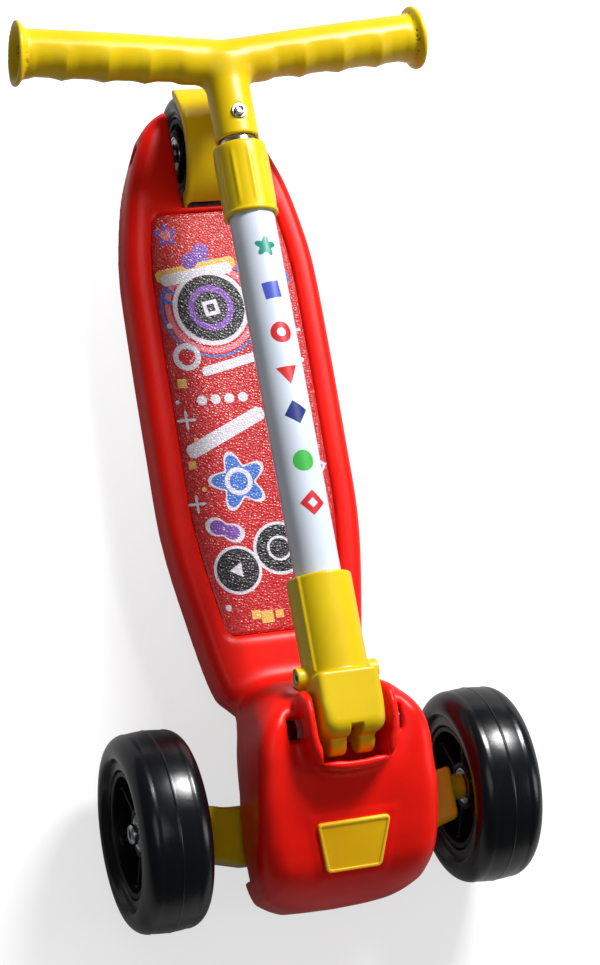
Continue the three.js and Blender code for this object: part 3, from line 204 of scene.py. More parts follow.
def elliptical_corner(side: Array, rise: Array, across: Array, down: Array) -> Array:
    """Distance past the corner of two planes, rounded by a quarter of an ellipse.

    Args:
        side: Distances past the side.
        rise: Distances past the top.
        across: Half widths of the ellipse.
        down: Half heights of the ellipse.

    Returns:
        Signed distances: beside the ellipse its own field over that field's slope, elsewhere the
        distance past the nearer plane.
    """
    u, v = 1 + side / across, 1 + rise / down
    pu, pv = np.maximum(u, 0), np.maximum(v, 0)
    length = np.hypot(pu, pv) + TINY
    slope = np.sqrt((pu / across) ** 2 + (pv / down) ** 2) / length
    corner = (length - 1) / np.maximum(slope, 1 / np.maximum(across, down))
    return np.where(np.maximum(u, v) > 0, corner, np.maximum(side, rise))


# Meshes


@dataclass
class MeshData:
    """Points and faces of a mesh, in the drawing's millimetres."""

    points: Array
    faces: list[Array]

    def turned_about_x(self, angle: float, centre: Point) -> "MeshData":
        """The mesh turned by an angle about an axis along X, then moved so that the axis is at centre."""
        c, s = np.cos(angle), np.sin(angle)
        turn = np.array([[1, 0, 0], [0, c, -s], [0, s, c]])
        return MeshData(self.points @ turn.T + np.asarray(centre, float), self.faces)

    def moved(self, offset: Point) -> "MeshData":
        """The mesh moved by an offset."""
        return MeshData(self.points + np.asarray(offset, float), self.faces)

    def mirrored_in_x(self) -> "MeshData":
        """The mesh mirrored in x, with its faces turned round so that they still point outwards."""
        return MeshData(self.points * (-1, 1, 1), [face[:, ::-1] for face in self.faces])


def together(meshes: Sequence[MeshData]) -> MeshData:
    """Several meshes as one, each keeping its own points."""
    points, faces, start = [], [], 0
    for mesh in meshes:
        points.append(mesh.points)
        faces.extend(face + start for face in mesh.faces)
        start += len(mesh.points)
    return MeshData(np.concatenate(points), faces)


def grid_faces(rows: int, columns: int, closed: bool) -> Array:
    """Quads of a grid of rows by columns, whose columns join up where closed is true."""
    i = np.arange(rows - 1)[:, None]
    j = np.arange(columns if closed else columns - 1)[None, :]
    following = (j + 1) % columns
    corners = [i * columns + j, i * columns + following, (i + 1) * columns + following, (i + 1) * columns + j]
    shape = (rows - 1, j.shape[1])
    return np.stack([np.broadcast_to(corner, shape) for corner in corners], -1).reshape(-1, 4)


def capped_rings(rings: Array) -> MeshData:
    """Closed skin over rings of points, with a fan over the first and the last ring.

    Args:
        rings: Array of rings by points by three, each ring anticlockwise seen from the last ring's side.

    Returns:
        The mesh, with faces that point outwards.
    """
    rows, columns = rings.shape[:2]
    points = np.concatenate([rings.reshape(-1, 3), rings[0].mean(0)[None], rings[-1].mean(0)[None]])
    j = np.arange(columns)
    following = (j + 1) % columns
    first = np.stack([following, j, np.full(columns, rows * columns)], 1)
    last = (rows - 1) * columns + np.stack([j, following, np.full(columns, columns + 1)], 1)
    return MeshData(points, [grid_faces(rows, columns, True), first, last])


def wrapped_rings(rings: Array) -> MeshData:
    """Closed skin over rings of points, whose last ring joins up with the first."""
    rows, columns = rings.shape[:2]
    return MeshData(rings.reshape(-1, 3), [grid_faces(rows + 1, columns, True) % (rows * columns)])


def revolved(profile: Array, axis: Axis, centre: Point = (0, 0, 0), steps: int = 96) -> MeshData:
    """Surface of a profile turned about an axis: each point goes round a circle of its own radius.

    Args:
        profile: Rows of radius and place along the axis, outer side first to last along the axis.
        axis: The axis to turn about.
        centre: A point on the axis.
        steps: Points around.

    Returns:
        The closed mesh. The profile's ends either lie on the axis or meet each other.
    """
    angle = np.arange(steps) / steps * TURN
    radius, place = profile[:, 0, None], np.broadcast_to(profile[:, 1, None], (len(profile), steps))
    ring = (radius * np.cos(angle), radius * np.sin(angle))
    order = {Axis.X: (place, *ring), Axis.Y: (ring[1], place, ring[0]), Axis.Z: (*ring, place)}[axis]
    points = np.stack(order, -1) + np.asarray(centre, float)
    if np.allclose(profile[0], profile[-1]):
        return wrapped_rings(points[:-1])
    return capped_rings(points[1:-1] if profile[0, 0] < TINY else points)


def softened(profile: Rows, radius: float, steps: int = 4) -> Array:
    """A closed or open profile with each corner replaced by a short curve.

    Args:
        profile: Corner points.
        radius: How far the curve reaches from the corner, where the sides are long enough.
        steps: Points of each curve.

    Returns:
        The rounded profile.
    """
    corners = np.asarray(profile, float)
    closed = np.allclose(corners[0], corners[-1])
    ring = corners[:-1] if closed else corners

    def towards(other: Array) -> Array:
        """Each corner moved towards a neighbour, by the radius or by a little less than half the side."""
        side = other - ring
        length = np.linalg.norm(side, axis=1)[:, None]
        return ring + np.minimum(radius, 0.45 * length) * side / length

    start, end = towards(np.roll(ring, 1, 0)), towards(np.roll(ring, -1, 0))
    t = np.linspace(0, 1, steps)[None, :, None]
    curve = (1 - t) ** 2 * start[:, None] + 2 * t * (1 - t) * ring[:, None] + t**2 * end[:, None]
    if closed:
        points = curve.reshape(-1, 2)
        return np.concatenate([points, points[:1]])
    return np.concatenate([ring[:1], curve[1:-1].reshape(-1, 2), ring[-1:]])


def surface_of(shape: Field, xs: Array, ys: Array, zs: Array) -> MeshData:
    """Skin of a field's zero level, with one point in each grid cell that the level passes through.

    A point starts at the mean of the level's crossings of the cell's edges, and then moves twice
    along the field's slope on to the level. Each grid edge that crosses the level gives one quad.

    Args:
        shape: Signed field, negative inside, read at broadcast arrays of x, y and z.
        xs, ys, zs: Rising grid places, which reach past the shape on every side.

    Returns:
        The closed mesh.
    """
    values = np.broadcast_to(
        shape(xs[:, None, None], ys[None, :, None], zs[None, None, :]), (len(xs), len(ys), len(zs)))
    inside = values < 0
    counts = sum(
        inside[a:len(xs) - 1 + a, b:len(ys) - 1 + b, c:len(zs) - 1 + c].astype(np.int8)
        for a in (0, 1) for b in (0, 1) for c in (0, 1))
    cells = np.argwhere((counts > 0) & (counts < 8))
    index = np.full(counts.shape, -1, np.int64)
    index[tuple(cells.T)] = np.arange(len(cells))
    total, hits = np.zeros((len(cells), 3)), np.zeros((len(cells), 1))
    for axis in range(3):
        for first in (0, 1):
            for second in (0, 1):
                start = np.insert([first, second], axis, 0)
                end = np.insert([first, second], axis, 1)
                i, j = (cells + start).T, (cells + end).T
                a, b = values[tuple(i)], values[tuple(j)]
                crosses = (a < 0) != (b < 0)
                share = np.where(crosses, a / np.where(crosses, a - b, 1), 0)[:, None]
                low = np.stack([xs[i[0]], ys[i[1]], zs[i[2]]], 1)
                high = np.stack([xs[j[0]], ys[j[1]], zs[j[2]]], 1)
                total += np.where(crosses[:, None], low + share * (high - low), 0)
                hits += crosses[:, None]
    points = total / hits
    reach = 0.5 * min(np.diff(xs).min(), np.diff(ys).min(), np.diff(zs).min())
    sample, least_square = 0.02, 0.05
    for _ in range(2):
        here = shape(*points.T)
        slope = np.stack([
            (shape(*(points + sample * unit).T) - shape(*(points - sample * unit).T)) / (2 * sample)
            for unit in np.eye(3)], 1)
        step = -here[:, None] * slope / np.maximum((slope**2).sum(1, keepdims=True), least_square)
        length = np.linalg.norm(step, axis=1, keepdims=True)
        points = points + step * np.minimum(1, reach / np.maximum(length, TINY))
    faces = []
    for axis in range(3):
        low = [slice(None)] * 3
        high = [slice(None)] * 3
        low[axis], high[axis] = slice(None, -1), slice(1, None)
        crossing = np.argwhere(inside[tuple(low)] != inside[tuple(high)])
        u, v = [other for other in range(3) if other != axis]
        corners = []
        for du, dv in ((1, 1), (0, 1), (0, 0), (1, 0)):
            cell = crossing.copy()
            cell[:, u] -= du
            cell[:, v] -= dv
            corners.append(index[tuple(cell.T)])
        quads = np.stack(corners, 1)
        outward = inside[tuple(crossing.T)] == (axis != 1)
        faces.append(np.where(outward[:, None], quads, quads[:, ::-1]))
    return MeshData(points, [np.concatenate(faces)])


def spaced(*stops: tuple[float, float]) -> Array:
    """Grid places from one stop to the next, each stop naming the spacing from there on."""
    parts = [np.arange(a, b, step) for (a, step), (b, _) in zip(stops, stops[1:])]
    return np.concatenate([*parts, [stops[-1][0]]])


def grid_step(steps: tuple[float, float]) -> float:
    return steps[0]


def surface_in(shape: Field, box: tuple[Point, Point], steps: tuple[float, float]) -> MeshData:
    """Skin of a field's zero level, on an even grid from a box's low corner up to its high one."""
    step = grid_step(steps)
    return surface_of(shape, *(spaced((a, step), (b, step)) for a, b in zip(*box)))


@dataclass
class Placement:
    """Carries meshes from the drawing's frame into the model's frame, and gives them their finish."""

    looks: "Finishes"
    shift: float

    @classmethod
    def from_frame(cls, looks: "Finishes") -> "Placement":
        """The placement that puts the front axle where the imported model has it."""
        low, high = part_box("left_wheel_tyre")
        return cls(looks, (low.y + high.y) / 2)

    def carried(self, mesh: MeshData) -> Array:
        """A mesh's points in the model's frame."""
        return mesh.points * MM + (0, self.shift, 0)

    def add(self, name: str, mesh: MeshData, body: str, slot: Slot, stands_for: Sequence[str] = (),
            sharp: float = 0.0, look: bpy.types.Material | None = None) -> None:
        """Makes an object of a mesh, in place, and hands it to the frame.

        Args:
            name: Name of the piece.
            mesh: Its mesh.
            body: The body that it rides on.
            slot: The record's slot that its finish comes from.
            stands_for: CAD nodes that it replaces.
            sharp: Angle in degrees past which an edge stays sharp, or 0 for none.
            look: Its material, where that isn't the slot's own.
        """
        data = bpy.data.meshes.new(name)
        points = self.carried(mesh)
        loops = np.concatenate([face.reshape(-1) for face in mesh.faces])
        sizes = np.concatenate([np.full(len(face), face.shape[1]) for face in mesh.faces])
        data.vertices.add(len(points))
        data.vertices.foreach_set("co", points.astype(np.float32).ravel())
        data.loops.add(len(loops))
        data.loops.foreach_set("vertex_index", loops.astype(np.int32))
        data.polygons.add(len(sizes))
        data.polygons.foreach_set("loop_start", (np.cumsum(sizes) - sizes).astype(np.int32))
        data.polygons.foreach_set("use_smooth", np.ones(len(sizes), bool))
        data.update(calc_edges=True)
        data.validate()
        if sharp:
            data.set_sharp_from_angle(angle=np.radians(sharp))
        data.materials.append(look or self.looks.by_slot[slot])
        piece = bpy.data.objects.new(name, data)
        bpy.context.scene.collection.objects.link(piece)
        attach(piece, body)
        if stands_for:
            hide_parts(*stands_for)
        log.info("%s: %d faces on %s", name, len(sizes), body)


@dataclass
class StemPlacement(Placement):
    """Carries meshes from the stem's own axes: +Y along it from the fold bolt, +Z away from the deck.

    Folded, the stem slopes down towards the tail.
    """

    slope: float = np.radians(-1.8)

    def carried(self, mesh: MeshData) -> Array:
        """A mesh's points in the model's frame."""
        return super().carried(mesh.turned_about_x(self.slope, (0, *FOLD_BOLT)))


# Node groups and finishes


class Graph:
    """Adds nodes to a tree and joins them, with the sockets given by name."""

    def __init__(self, tree: bpy.types.NodeTree) -> None:
        """Keeps the tree."""
        self.tree = tree

    def node(self, kind: str, settings: dict[str, object] | None = None, **inputs: object) -> bpy.types.Node:
        """Adds a node.

        Args:
            kind: Type of the node.
            settings: Its own properties.
            **inputs: Value or source socket of each input, with spaces written as underscores.

        Returns:
            The node.
        """
        made = self.tree.nodes.new(kind)
        for key, value in (settings or {}).items():
            setattr(made, key, value)
        self.dress(made, **inputs)
        return made

    def dress(self, node: bpy.types.Node, **inputs: object) -> None:
        """Sets or links inputs of a node, with spaces in their names written as underscores."""
        for key, value in inputs.items():
            self.feed(node.inputs[key.replace("_", " ")], value)

    def group(self, tree: bpy.types.NodeTree, **inputs: object) -> bpy.types.Node:
        """Adds a group node of a tree."""
        return self.node("ShaderNodeGroup", {"node_tree": tree}, **inputs)

    def bumps(self, heights: bpy.types.Node, strength: float, distance: float) -> bpy.types.NodeSocket:
        """Normal that follows a group's height."""
        made = self.node(
            "ShaderNodeBump", Height=heights.outputs["Height"], Strength=strength, Distance=distance)
        return made.outputs["Normal"]

    def noise(self, scale: object, **inputs: object) -> bpy.types.NodeSocket:
        """Value of a noise texture in the object's own space."""
        place = self.node("ShaderNodeTexCoord").outputs["Object"]
        return self.node("ShaderNodeTexNoise", Vector=place, Scale=scale, **inputs).outputs[0]

    def feed(self, socket: bpy.types.NodeSocket, value: object) -> None:
        """Sets an input, or links it where the value is a socket."""
        if isinstance(value, bpy.types.NodeSocket):
            self.tree.links.new(value, socket)
        else:
            socket.default_value = value

    def math(self, operation: str, *values: object) -> bpy.types.NodeSocket:
        """Result of a Math node."""
        made = self.tree.nodes.new("ShaderNodeMath")
        made.operation = operation
        for socket, value in zip(made.inputs, values):
            self.feed(socket, value)
        return made.outputs[0]

    def mix(self, share: object, a: object, b: object) -> bpy.types.NodeSocket:
        """Colour between a and b."""
        made = self.tree.nodes.new("ShaderNodeMix")
        made.data_type = "RGBA"
        for socket, value in ((made.inputs[0], share), (made.inputs[6], a), (made.inputs[7], b)):
            self.feed(socket, value)
        return made.outputs[2]

    def mapped(self, value: object, low: float, high: float, to_low: float,
               to_high: float) -> bpy.types.NodeSocket:
        """Value carried from one range to another, held at the ends."""
        ends = {"From_Min": low, "From_Max": high, "To_Min": to_low, "To_Max": to_high}
        return self.node("ShaderNodeMapRange", Value=value, **ends).outputs[0]


class LookGraph(Graph):
    """Node tree of a new material, with its surface shader."""

    def __init__(self, name: str) -> None:
        """Makes the material."""
        self.look = bpy.data.materials.new(name)
        self.look.use_nodes = True
        super().__init__(self.look.node_tree)
        self.surface = self.look.node_tree.nodes["Principled BSDF"]


def rgba(hex_code: str) -> tuple[float, float, float, float]:
    """Linear colour of a six digit sRGB code."""
    values = np.array([int(hex_code[i:i + 2], 16) for i in (1, 3, 5)]) / 255
    linear = np.where(values <= 0.04045, values / 12.92, ((values + 0.055) / 1.055) ** 2.4)
    return (*linear.tolist(), 1.0)


class Groups:
    """Shader node groups that several finishes share, each built once."""

    def __init__(self) -> None:
        """Builds every group."""
        self.grain = self._mould_grain()
        self.shade = self._uneven_colour()
        self.pebbles = self._pebbles()

    @staticmethod
    def _new(name: str, inputs: dict[str, tuple[str, object]], outputs: dict[str, str]) -> tuple[
            bpy.types.NodeTree, Graph, bpy.types.Node, bpy.types.Node]:
        """An empty group with named sockets.

        Args:
            name: Name of the group.
            inputs: Socket type and first value by name.
            outputs: Socket type by name.

        Returns:
            The tree, its graph, and its input and output nodes.
        """
        tree = bpy.data.node_groups.new(name, "ShaderNodeTree")
        for key, (kind, value) in inputs.items():
            socket = tree.interface.new_socket(key, in_out="INPUT", socket_type=kind)
            if value is not None:
                socket.default_value = value
        for key, kind in outputs.items():
            tree.interface.new_socket(key, in_out="OUTPUT", socket_type=kind)
        graph = Graph(tree)
        return tree, graph, tree.nodes.new("NodeGroupInput"), tree.nodes.new("NodeGroupOutput")

    def _mould_grain(self) -> bpy.types.NodeTree:
        """Slow waviness and a fine skin of moulded plastic, as a height, with uneven gloss."""
        tree, graph, given, result = self._new(
            "Mould grain",
            {"Wave Size": ("NodeSocketFloat", 40.0), "Grain Size": ("NodeSocketFloat", 900.0),
             "Grain Share": ("NodeSocketFloat", 0.15), "Roughness": ("NodeSocketFloat", 0.3),
             "Spread": ("NodeSocketFloat", 0.06)},
            {"Height": "NodeSocketFloat", "Roughness": "NodeSocketFloat"})
        wave = graph.noise(given.outputs["Wave Size"], Detail=2.0)
        grain = graph.noise(given.outputs["Grain Size"], Detail=3.0)
        scuff = graph.noise(120.0, Detail=5.0, Distortion=0.6)
        height = graph.math("ADD", wave, graph.math("MULTIPLY", grain, given.outputs["Grain Share"]))
        uneven = graph.math("MULTIPLY", graph.math("SUBTRACT", scuff, 0.5), given.outputs["Spread"])
        gloss = graph.math("ADD", given.outputs["Roughness"], uneven)
        graph.dress(result, Height=height, Roughness=gloss)
        return tree

    def _uneven_colour(self) -> bpy.types.NodeTree:
        """A colour that drifts slowly between two tones, as pigment and dust make it."""
        tree, graph, given, result = self._new(
            "Uneven colour",
            {"Tone": ("NodeSocketColor", (1, 0, 0, 1)), "Other Tone": ("NodeSocketColor", (0.8, 0, 0, 1)),
             "Size": ("NodeSocketFloat", 18.0)},
            {"Color": "NodeSocketColor"})
        share = graph.mapped(graph.noise(given.outputs["Size"], Detail=4.0), 0.35, 0.65, 0.0, 1.0)
        graph.dress(result, Color=graph.mix(share, given.outputs["Tone"], given.outputs["Other Tone"]))
        return tree

    def _pebbles(self) -> bpy.types.NodeTree:
        """Rounded pebbles with narrow valleys, as a height, and a random value for each fleck, from which the
        print makes dark flecks and painted glints.
        """
        tree, graph, given, result = self._new(
            "Pebbles",
            {"Size": ("NodeSocketFloat", 560.0), "Fleck Size": ("NodeSocketFloat", 1400.0)},
            {"Height": "NodeSocketFloat", "Flecks": "NodeSocketFloat", "Valleys": "NodeSocketFloat"})
        place = graph.node("ShaderNodeTexCoord").outputs["Object"]
        from_edge = graph.node(
            "ShaderNodeTexVoronoi", {"feature": "DISTANCE_TO_EDGE"}, Vector=place,
            Scale=given.outputs["Size"]).outputs["Distance"]
        flecks = graph.node("ShaderNodeTexVoronoi", Vector=place, Scale=given.outputs["Fleck Size"])
        shade = graph.node("ShaderNodeSeparateColor", Color=flecks.outputs["Color"])
        graph.dress(
            result, Height=graph.mapped(from_edge, 0.0, 0.35, 0.0, 1.0),
            Valleys=graph.mapped(from_edge, 0.0, 0.12, 1.0, 0.0), Flecks=shade.outputs[0])
        return tree


@dataclass(frozen=True)
class Moulded:
    """A moulded or cast plastic: two close tones, a soft gloss and the mould's faint waviness."""

    name: str
    tone: str
    other: str
    roughness: float = 0.28
    coat: float = 0.0
    specular: float = 0.4
    bump: float = 0.06
    waves: float = 40.0
    grain: float = 0.15

    def build(self, groups: Groups) -> bpy.types.Material:
        """The material, with its colour, gloss and height from the shared groups."""
        graph = LookGraph(self.name)
        grain = graph.group(
            groups.grain, Wave_Size=self.waves, Roughness=self.roughness, Grain_Share=self.grain)
        shade = graph.group(groups.shade, Tone=rgba(self.tone), Other_Tone=rgba(self.other))
        bump = graph.bumps(grain, self.bump, distance=0.002)
        graph.dress(
            graph.surface, Base_Color=shade.outputs["Color"], Roughness=grain.outputs["Roughness"],
            Normal=bump, Coat_Weight=self.coat, Coat_Roughness=0.12, Specular_IOR_Level=self.specular)
        return graph.look


@dataclass(frozen=True)
class Metal:
    """Plated or drawn steel with fine lines and a little tarnish."""

    name: str
    tone: str = "#c9ccd0"
    other: str = "#a9adb3"
    roughness: float = 0.24
    spread: float = 0.08
    bump: float = 0.04

    def build(self, groups: Groups) -> bpy.types.Material:
        """The material."""
        graph = LookGraph(self.name)
        grain = graph.group(groups.grain, Wave_Size=300.0, Roughness=self.roughness, Spread=self.spread)
        shade = graph.group(groups.shade, Tone=rgba(self.tone), Other_Tone=rgba(self.other), Size=160.0)
        bump = graph.bumps(grain, self.bump, distance=0.001)
        graph.dress(
            graph.surface, Base_Color=shade.outputs["Color"], Roughness=grain.outputs["Roughness"],
            Normal=bump, Metallic=1.0)
        return graph.look


@dataclass(frozen=True)
class PrintUnderCoat:
    """A print under a clear coat with a pebbled skin, painted glints on a few pebbles and painted shade in
    the valleys between them.
    """

    name: str
    tone: str
    # The dark tone also paints shade into the valleys; the tone after it is that of the painted glints.
    dark: str
    painted_glint: str
    coat: float = 0.5
    coat_roughness: float = 0.15
    specular: float = 0.3
    bump: float = 0.42

    def build(self, groups: Groups) -> bpy.types.Material:
        """The material: a few dark flecks, a few pale ones that are painted glints, and valleys that are
        duller and darker with painted shade.
        """
        graph = LookGraph(self.name)
        pebbles = graph.group(groups.pebbles)
        flecks, valleys = pebbles.outputs["Flecks"], pebbles.outputs["Valleys"]
        dark = graph.mix(graph.mapped(flecks, 0.0, 0.35, 0.7, 0.0), rgba(self.tone), rgba(self.dark))
        # Painted glints: the palest flecks turn towards the glint tone, as light caught on the pebbles.
        painted_glint = graph.mix(graph.mapped(flecks, 0.9, 1.0, 0.0, 0.5), dark, rgba(self.painted_glint))
        # Painted shade: the valleys are darkened towards the dark tone.
        colour = graph.mix(graph.mapped(valleys, 0.0, 1.0, 0.0, 0.45), painted_glint, rgba(self.dark))
        bump = graph.bumps(pebbles, self.bump, distance=0.0004)
        graph.dress(
            graph.surface, Base_Color=colour, Normal=bump,
            Roughness=graph.mapped(valleys, 0.0, 1.0, 0.26, 0.5), Coat_Weight=self.coat,
            Coat_Roughness=self.coat_roughness, Specular_IOR_Level=self.specular)
        return graph.look


class Finishes:
    """Every finish of the scooter, built once."""

    def __init__(self) -> None:
        """Builds the groups, then the materials: one for each slot, the badge's border, inks and paints."""
        groups = Groups()
        own = {
            Slot.RED: Moulded(
                "red moulding", "#f8190b", "#ec1208", roughness=0.36, specular=0.24, bump=0.05, waves=22),
            Slot.YELLOW: Moulded(
                "yellow moulding", "#e0c007", "#d5b305", roughness=0.34, specular=0.35, bump=0.07, waves=45),
            Slot.BADGE: Moulded("badge moulding", "#ffc908", "#f8bd06", roughness=0.36, bump=0.1),
            Slot.WHEEL: Moulded(
                "cast wheel", "#05070b", "#0a0d13", roughness=0.24, specular=0.42, bump=0.09, waves=70),
            Slot.BLACK: Moulded("black moulding", "#08090b", "#0d0e11", roughness=0.45, specular=0.25),
            Slot.RUBBER: Moulded("rubber", "#202126", "#28292e", roughness=0.8),
            Slot.TUBE: Moulded("tube paint", "#d3dbe8", "#c9d2e0", roughness=0.24, coat=0.4, bump=0.03),
            Slot.STEEL: Metal("plated steel"),
            # The mat print's second tone gives dark flecks and painted valley shade, its third the painted
            # glints.
            Slot.PRINT: PrintUnderCoat("mat print", "#c3161c", "#7c0a10", "#ff8a80")}
        self.by_slot = {slot: finish.build(groups) for slot, finish in own.items()}
        self.border = Moulded("badge border", "#ffd23a", "#f8c62c", roughness=0.3).build(groups)
        self.inks: dict[Enum, bpy.types.Material] = {}
        for ink in Ink:
            self.inks[ink] = PrintUnderCoat(f"{ink.name.lower()} ink", *ink.value).build(groups)
        for paint in Paint:
            name, tone = f"{paint.name.lower()} paint", paint.value
            self.inks[paint] = Moulded(name, tone, tone, roughness=0.3, coat=0.3).build(groups)


class Ink(Enum):
    """Inks of the mat's print: a plain tone, a dark tone for flecks and for painted shade in the valleys, and
    the tone of the painted glints.
    """

    WHITE = ("#d9d6e0", "#a8a6b4", "#ffffff")
    BLACK = ("#1c1a20", "#08080a", "#b9b7c0")
    BLUE = ("#3d6fc4", "#234a92", "#9dbcf2")
    VIOLET = ("#7d4aa8", "#56307a", "#c9a4e6")
    GOLD = ("#e3b45c", "#b98a38", "#ffe1a0")
    PINK = ("#e07a86", "#b44e5c", "#ffc0c6")


class Paint(Enum):
    """Paints of the shapes on the stem."""

    TEAL = "#1c8a78"
    BLUE = "#4355b8"
    RED = "#c8262c"
    NAVY = "#27357a"
    GREEN = "#3fae46"


# Deck and nose: one moulding


@dataclass
class PlanMap:
    """Signed distance to a closed plan outline that is the same on both sides of x = 0."""

    outline: Array
    reach: float = 50.0
    cell: float = 1.0
    fineness: int = 12
    xs: Array = field(init=False)
    ys: Array = field(init=False)
    distances: Array = field(init=False)

    def __post_init__(self) -> None:
        """Measures the distance from each point of a fine grid to the nearest side of the outline."""
        t = np.arange(len(self.outline), dtype=float)
        fine = np.linspace(0, t[-1], self.fineness * len(t))
        x, y = (line_through(np.stack([t, self.outline[:, k]], 1), fine) for k in (0, 1))
        self.xs = np.arange(0, x.max() + self.reach, self.cell)
        self.ys = np.arange(y.min() - self.reach, y.max() + self.reach, self.cell)
        a, b = np.stack([x[:-1], y[:-1]], 1), np.stack([x[1:], y[1:]], 1)
        at = np.stack(np.meshgrid(self.xs, self.ys, indexing="ij"), -1).reshape(-1, 1, 2)
        side = b - a
        share = np.clip(((at - a) * side).sum(-1) / np.maximum((side**2).sum(-1), TINY), 0, 1)
        distance = np.linalg.norm(at - a - share[..., None] * side, axis=-1).min(1)
        inside = (at[:, 0, 0] < np.interp(at[:, 0, 1], y, x)) & (at[:, 0, 1] > y[0]) & (at[:, 0, 1] < y[-1])
        self.distances = np.where(inside, -distance, distance).reshape(len(self.xs), len(self.ys))

    def at(self, x: Array, y: Array) -> Array:
        """Distance at places, from the four grid points around each."""
        x, y = np.broadcast_arrays(np.abs(x), y)
        u = np.clip((x - self.xs[0]) / self.cell, 0, len(self.xs) - 1.001)
        v = np.clip((y - self.ys[0]) / self.cell, 0, len(self.ys) - 1.001)
        i, j = u.astype(int), v.astype(int)
        u, v = u - i, v - j
        d = self.distances
        return ((d[i, j] * (1 - u) + d[i + 1, j] * u) * (1 - v)
                + (d[i, j + 1] * (1 - u) + d[i + 1, j + 1] * u) * v)


@dataclass
class Deck:
    """The platform: rounded rim, mat recess, slot for the rear wheel and hollow underside.

    The plan's rows are shares of the length and of the half width. The rim's rows are shares of its
    width and of the recess's depth.
    """

    front: float = 58.0
    rear: float = 460.0
    half_width: float = 64.0
    bottom: float = 27.0
    top: float = 53.2
    rim: float = 17.0
    recess: float = 4.5
    floor_thickness: float = 3.4
    wall: float = 5.6
    edge: float = 9.0
    recess_edge: float = 0.8
    lower_edge: float = 2.5
    hollow_edge: float = 1.5
    mat_front: float = 111.4
    mat_rear: float = 386.0
    mat_corner: float = 7.0
    mat_thickness: float = 1.8
    slot_half: float = 19.7
    slot_front: float = 390.5
    slot_wall: float = 4.0
    hidden_front: float = 382.6
    hidden_roof: float = 1.0
    solid_from: float = 404.0
    shares: tuple = (
        (0, 0), (0.0, 0.36), (0.028, 0.6), (0.06, 0.73), (0.17, 0.87), (0.3, 0.985), (0.45, 1), (0.6, 1),
        (0.72, 0.985), (0.79, 0.93), (0.86, 0.835), (0.915, 0.71), (0.94, 0.645), (0.962, 0.575),
        (0.985, 0.42), (1, 0.2), (1, 0))
    rim_fall: tuple = ((0, 0), (0.02, 0.4), (0.1, 0.66), (0.24, 0.88), (0.42, 1))
    ribs_across: tuple = (0.12, 0.24, 0.36, 0.48, 0.6, 0.72, 0.8)
    rib_along: float = 0.36
    rib: float = 2.6

    def __post_init__(self) -> None:
        """Draws the plan."""
        length = self.rear - self.front
        points = [(wide * self.half_width, self.front + long * length) for long, wide in self.shares]
        self.plan = PlanMap(np.array(points))

    @property
    def recess_floor(self) -> float:
        """Height of the recess that holds the mat."""
        return self.top - self.recess

    @property
    def rib_places(self) -> list[float]:
        """Where the middles of the cross ribs lie along the deck."""
        return [self.front + share * (self.rear - self.front) for share in self.ribs_across]

    def recess_distance(self, x: Array, y: Array) -> Array:
        """Distance outside the mat's recess: the inset outline cut by its two straight ends."""
        ends = slab(y, self.mat_front, self.mat_rear)
        return common(self.plan.at(x, y) + self.rim, ends, self.mat_corner)

    def outside(self, x: Array, y: Array, z: Array) -> Array:
        """Field of the platform: a slab with rounded upper edge, less the recess."""
        body = rounded_corner(self.plan.at(x, y) + self.edge, z - (self.top - self.edge), self.edge)
        place, height = np.array(self.rim_fall).T
        surface = self.recess_floor + self.recess * np.interp(
            self.recess_distance(x, y) / self.rim, place, height)
        body = common(body, z - surface, self.recess_edge)
        return common(body, self.bottom - z, self.lower_edge)

    def hollow(self, x: Array, y: Array, z: Array) -> Array:
        """Field of the space under the platform, between its walls, its ribs and the slot's walls."""
        roof = self.recess_floor - self.floor_thickness
        space = common(self.plan.at(x, y) + self.wall, z - roof, self.hollow_edge)
        space = np.maximum(space, y - self.solid_from)
        side, half_rib = np.abs(x), self.rib / 2
        lengthwise = self.rib_along * self.half_width
        keep = [slab(y, middle - half_rib, middle + half_rib) for middle in self.rib_places]
        keep += [slab(side, lengthwise - half_rib, lengthwise + half_rib),
                 np.maximum(side - self.slot_half - self.slot_wall, self.hidden_front - self.slot_wall - y)]
        for rib in keep:
            space = np.maximum(space, -rib)
        return space

    def slot_space(self, x: Array, y: Array, z: Array) -> Array:
        """Field of the rear wheel's slot, which runs on forwards under the platform."""
        side = np.abs(x) - self.slot_half
        roof = self.recess_floor - self.hidden_roof
        hidden = np.maximum(np.maximum(side, self.hidden_front - y), z - roof)
        return np.minimum(np.maximum(side, self.slot_front - y), hidden)


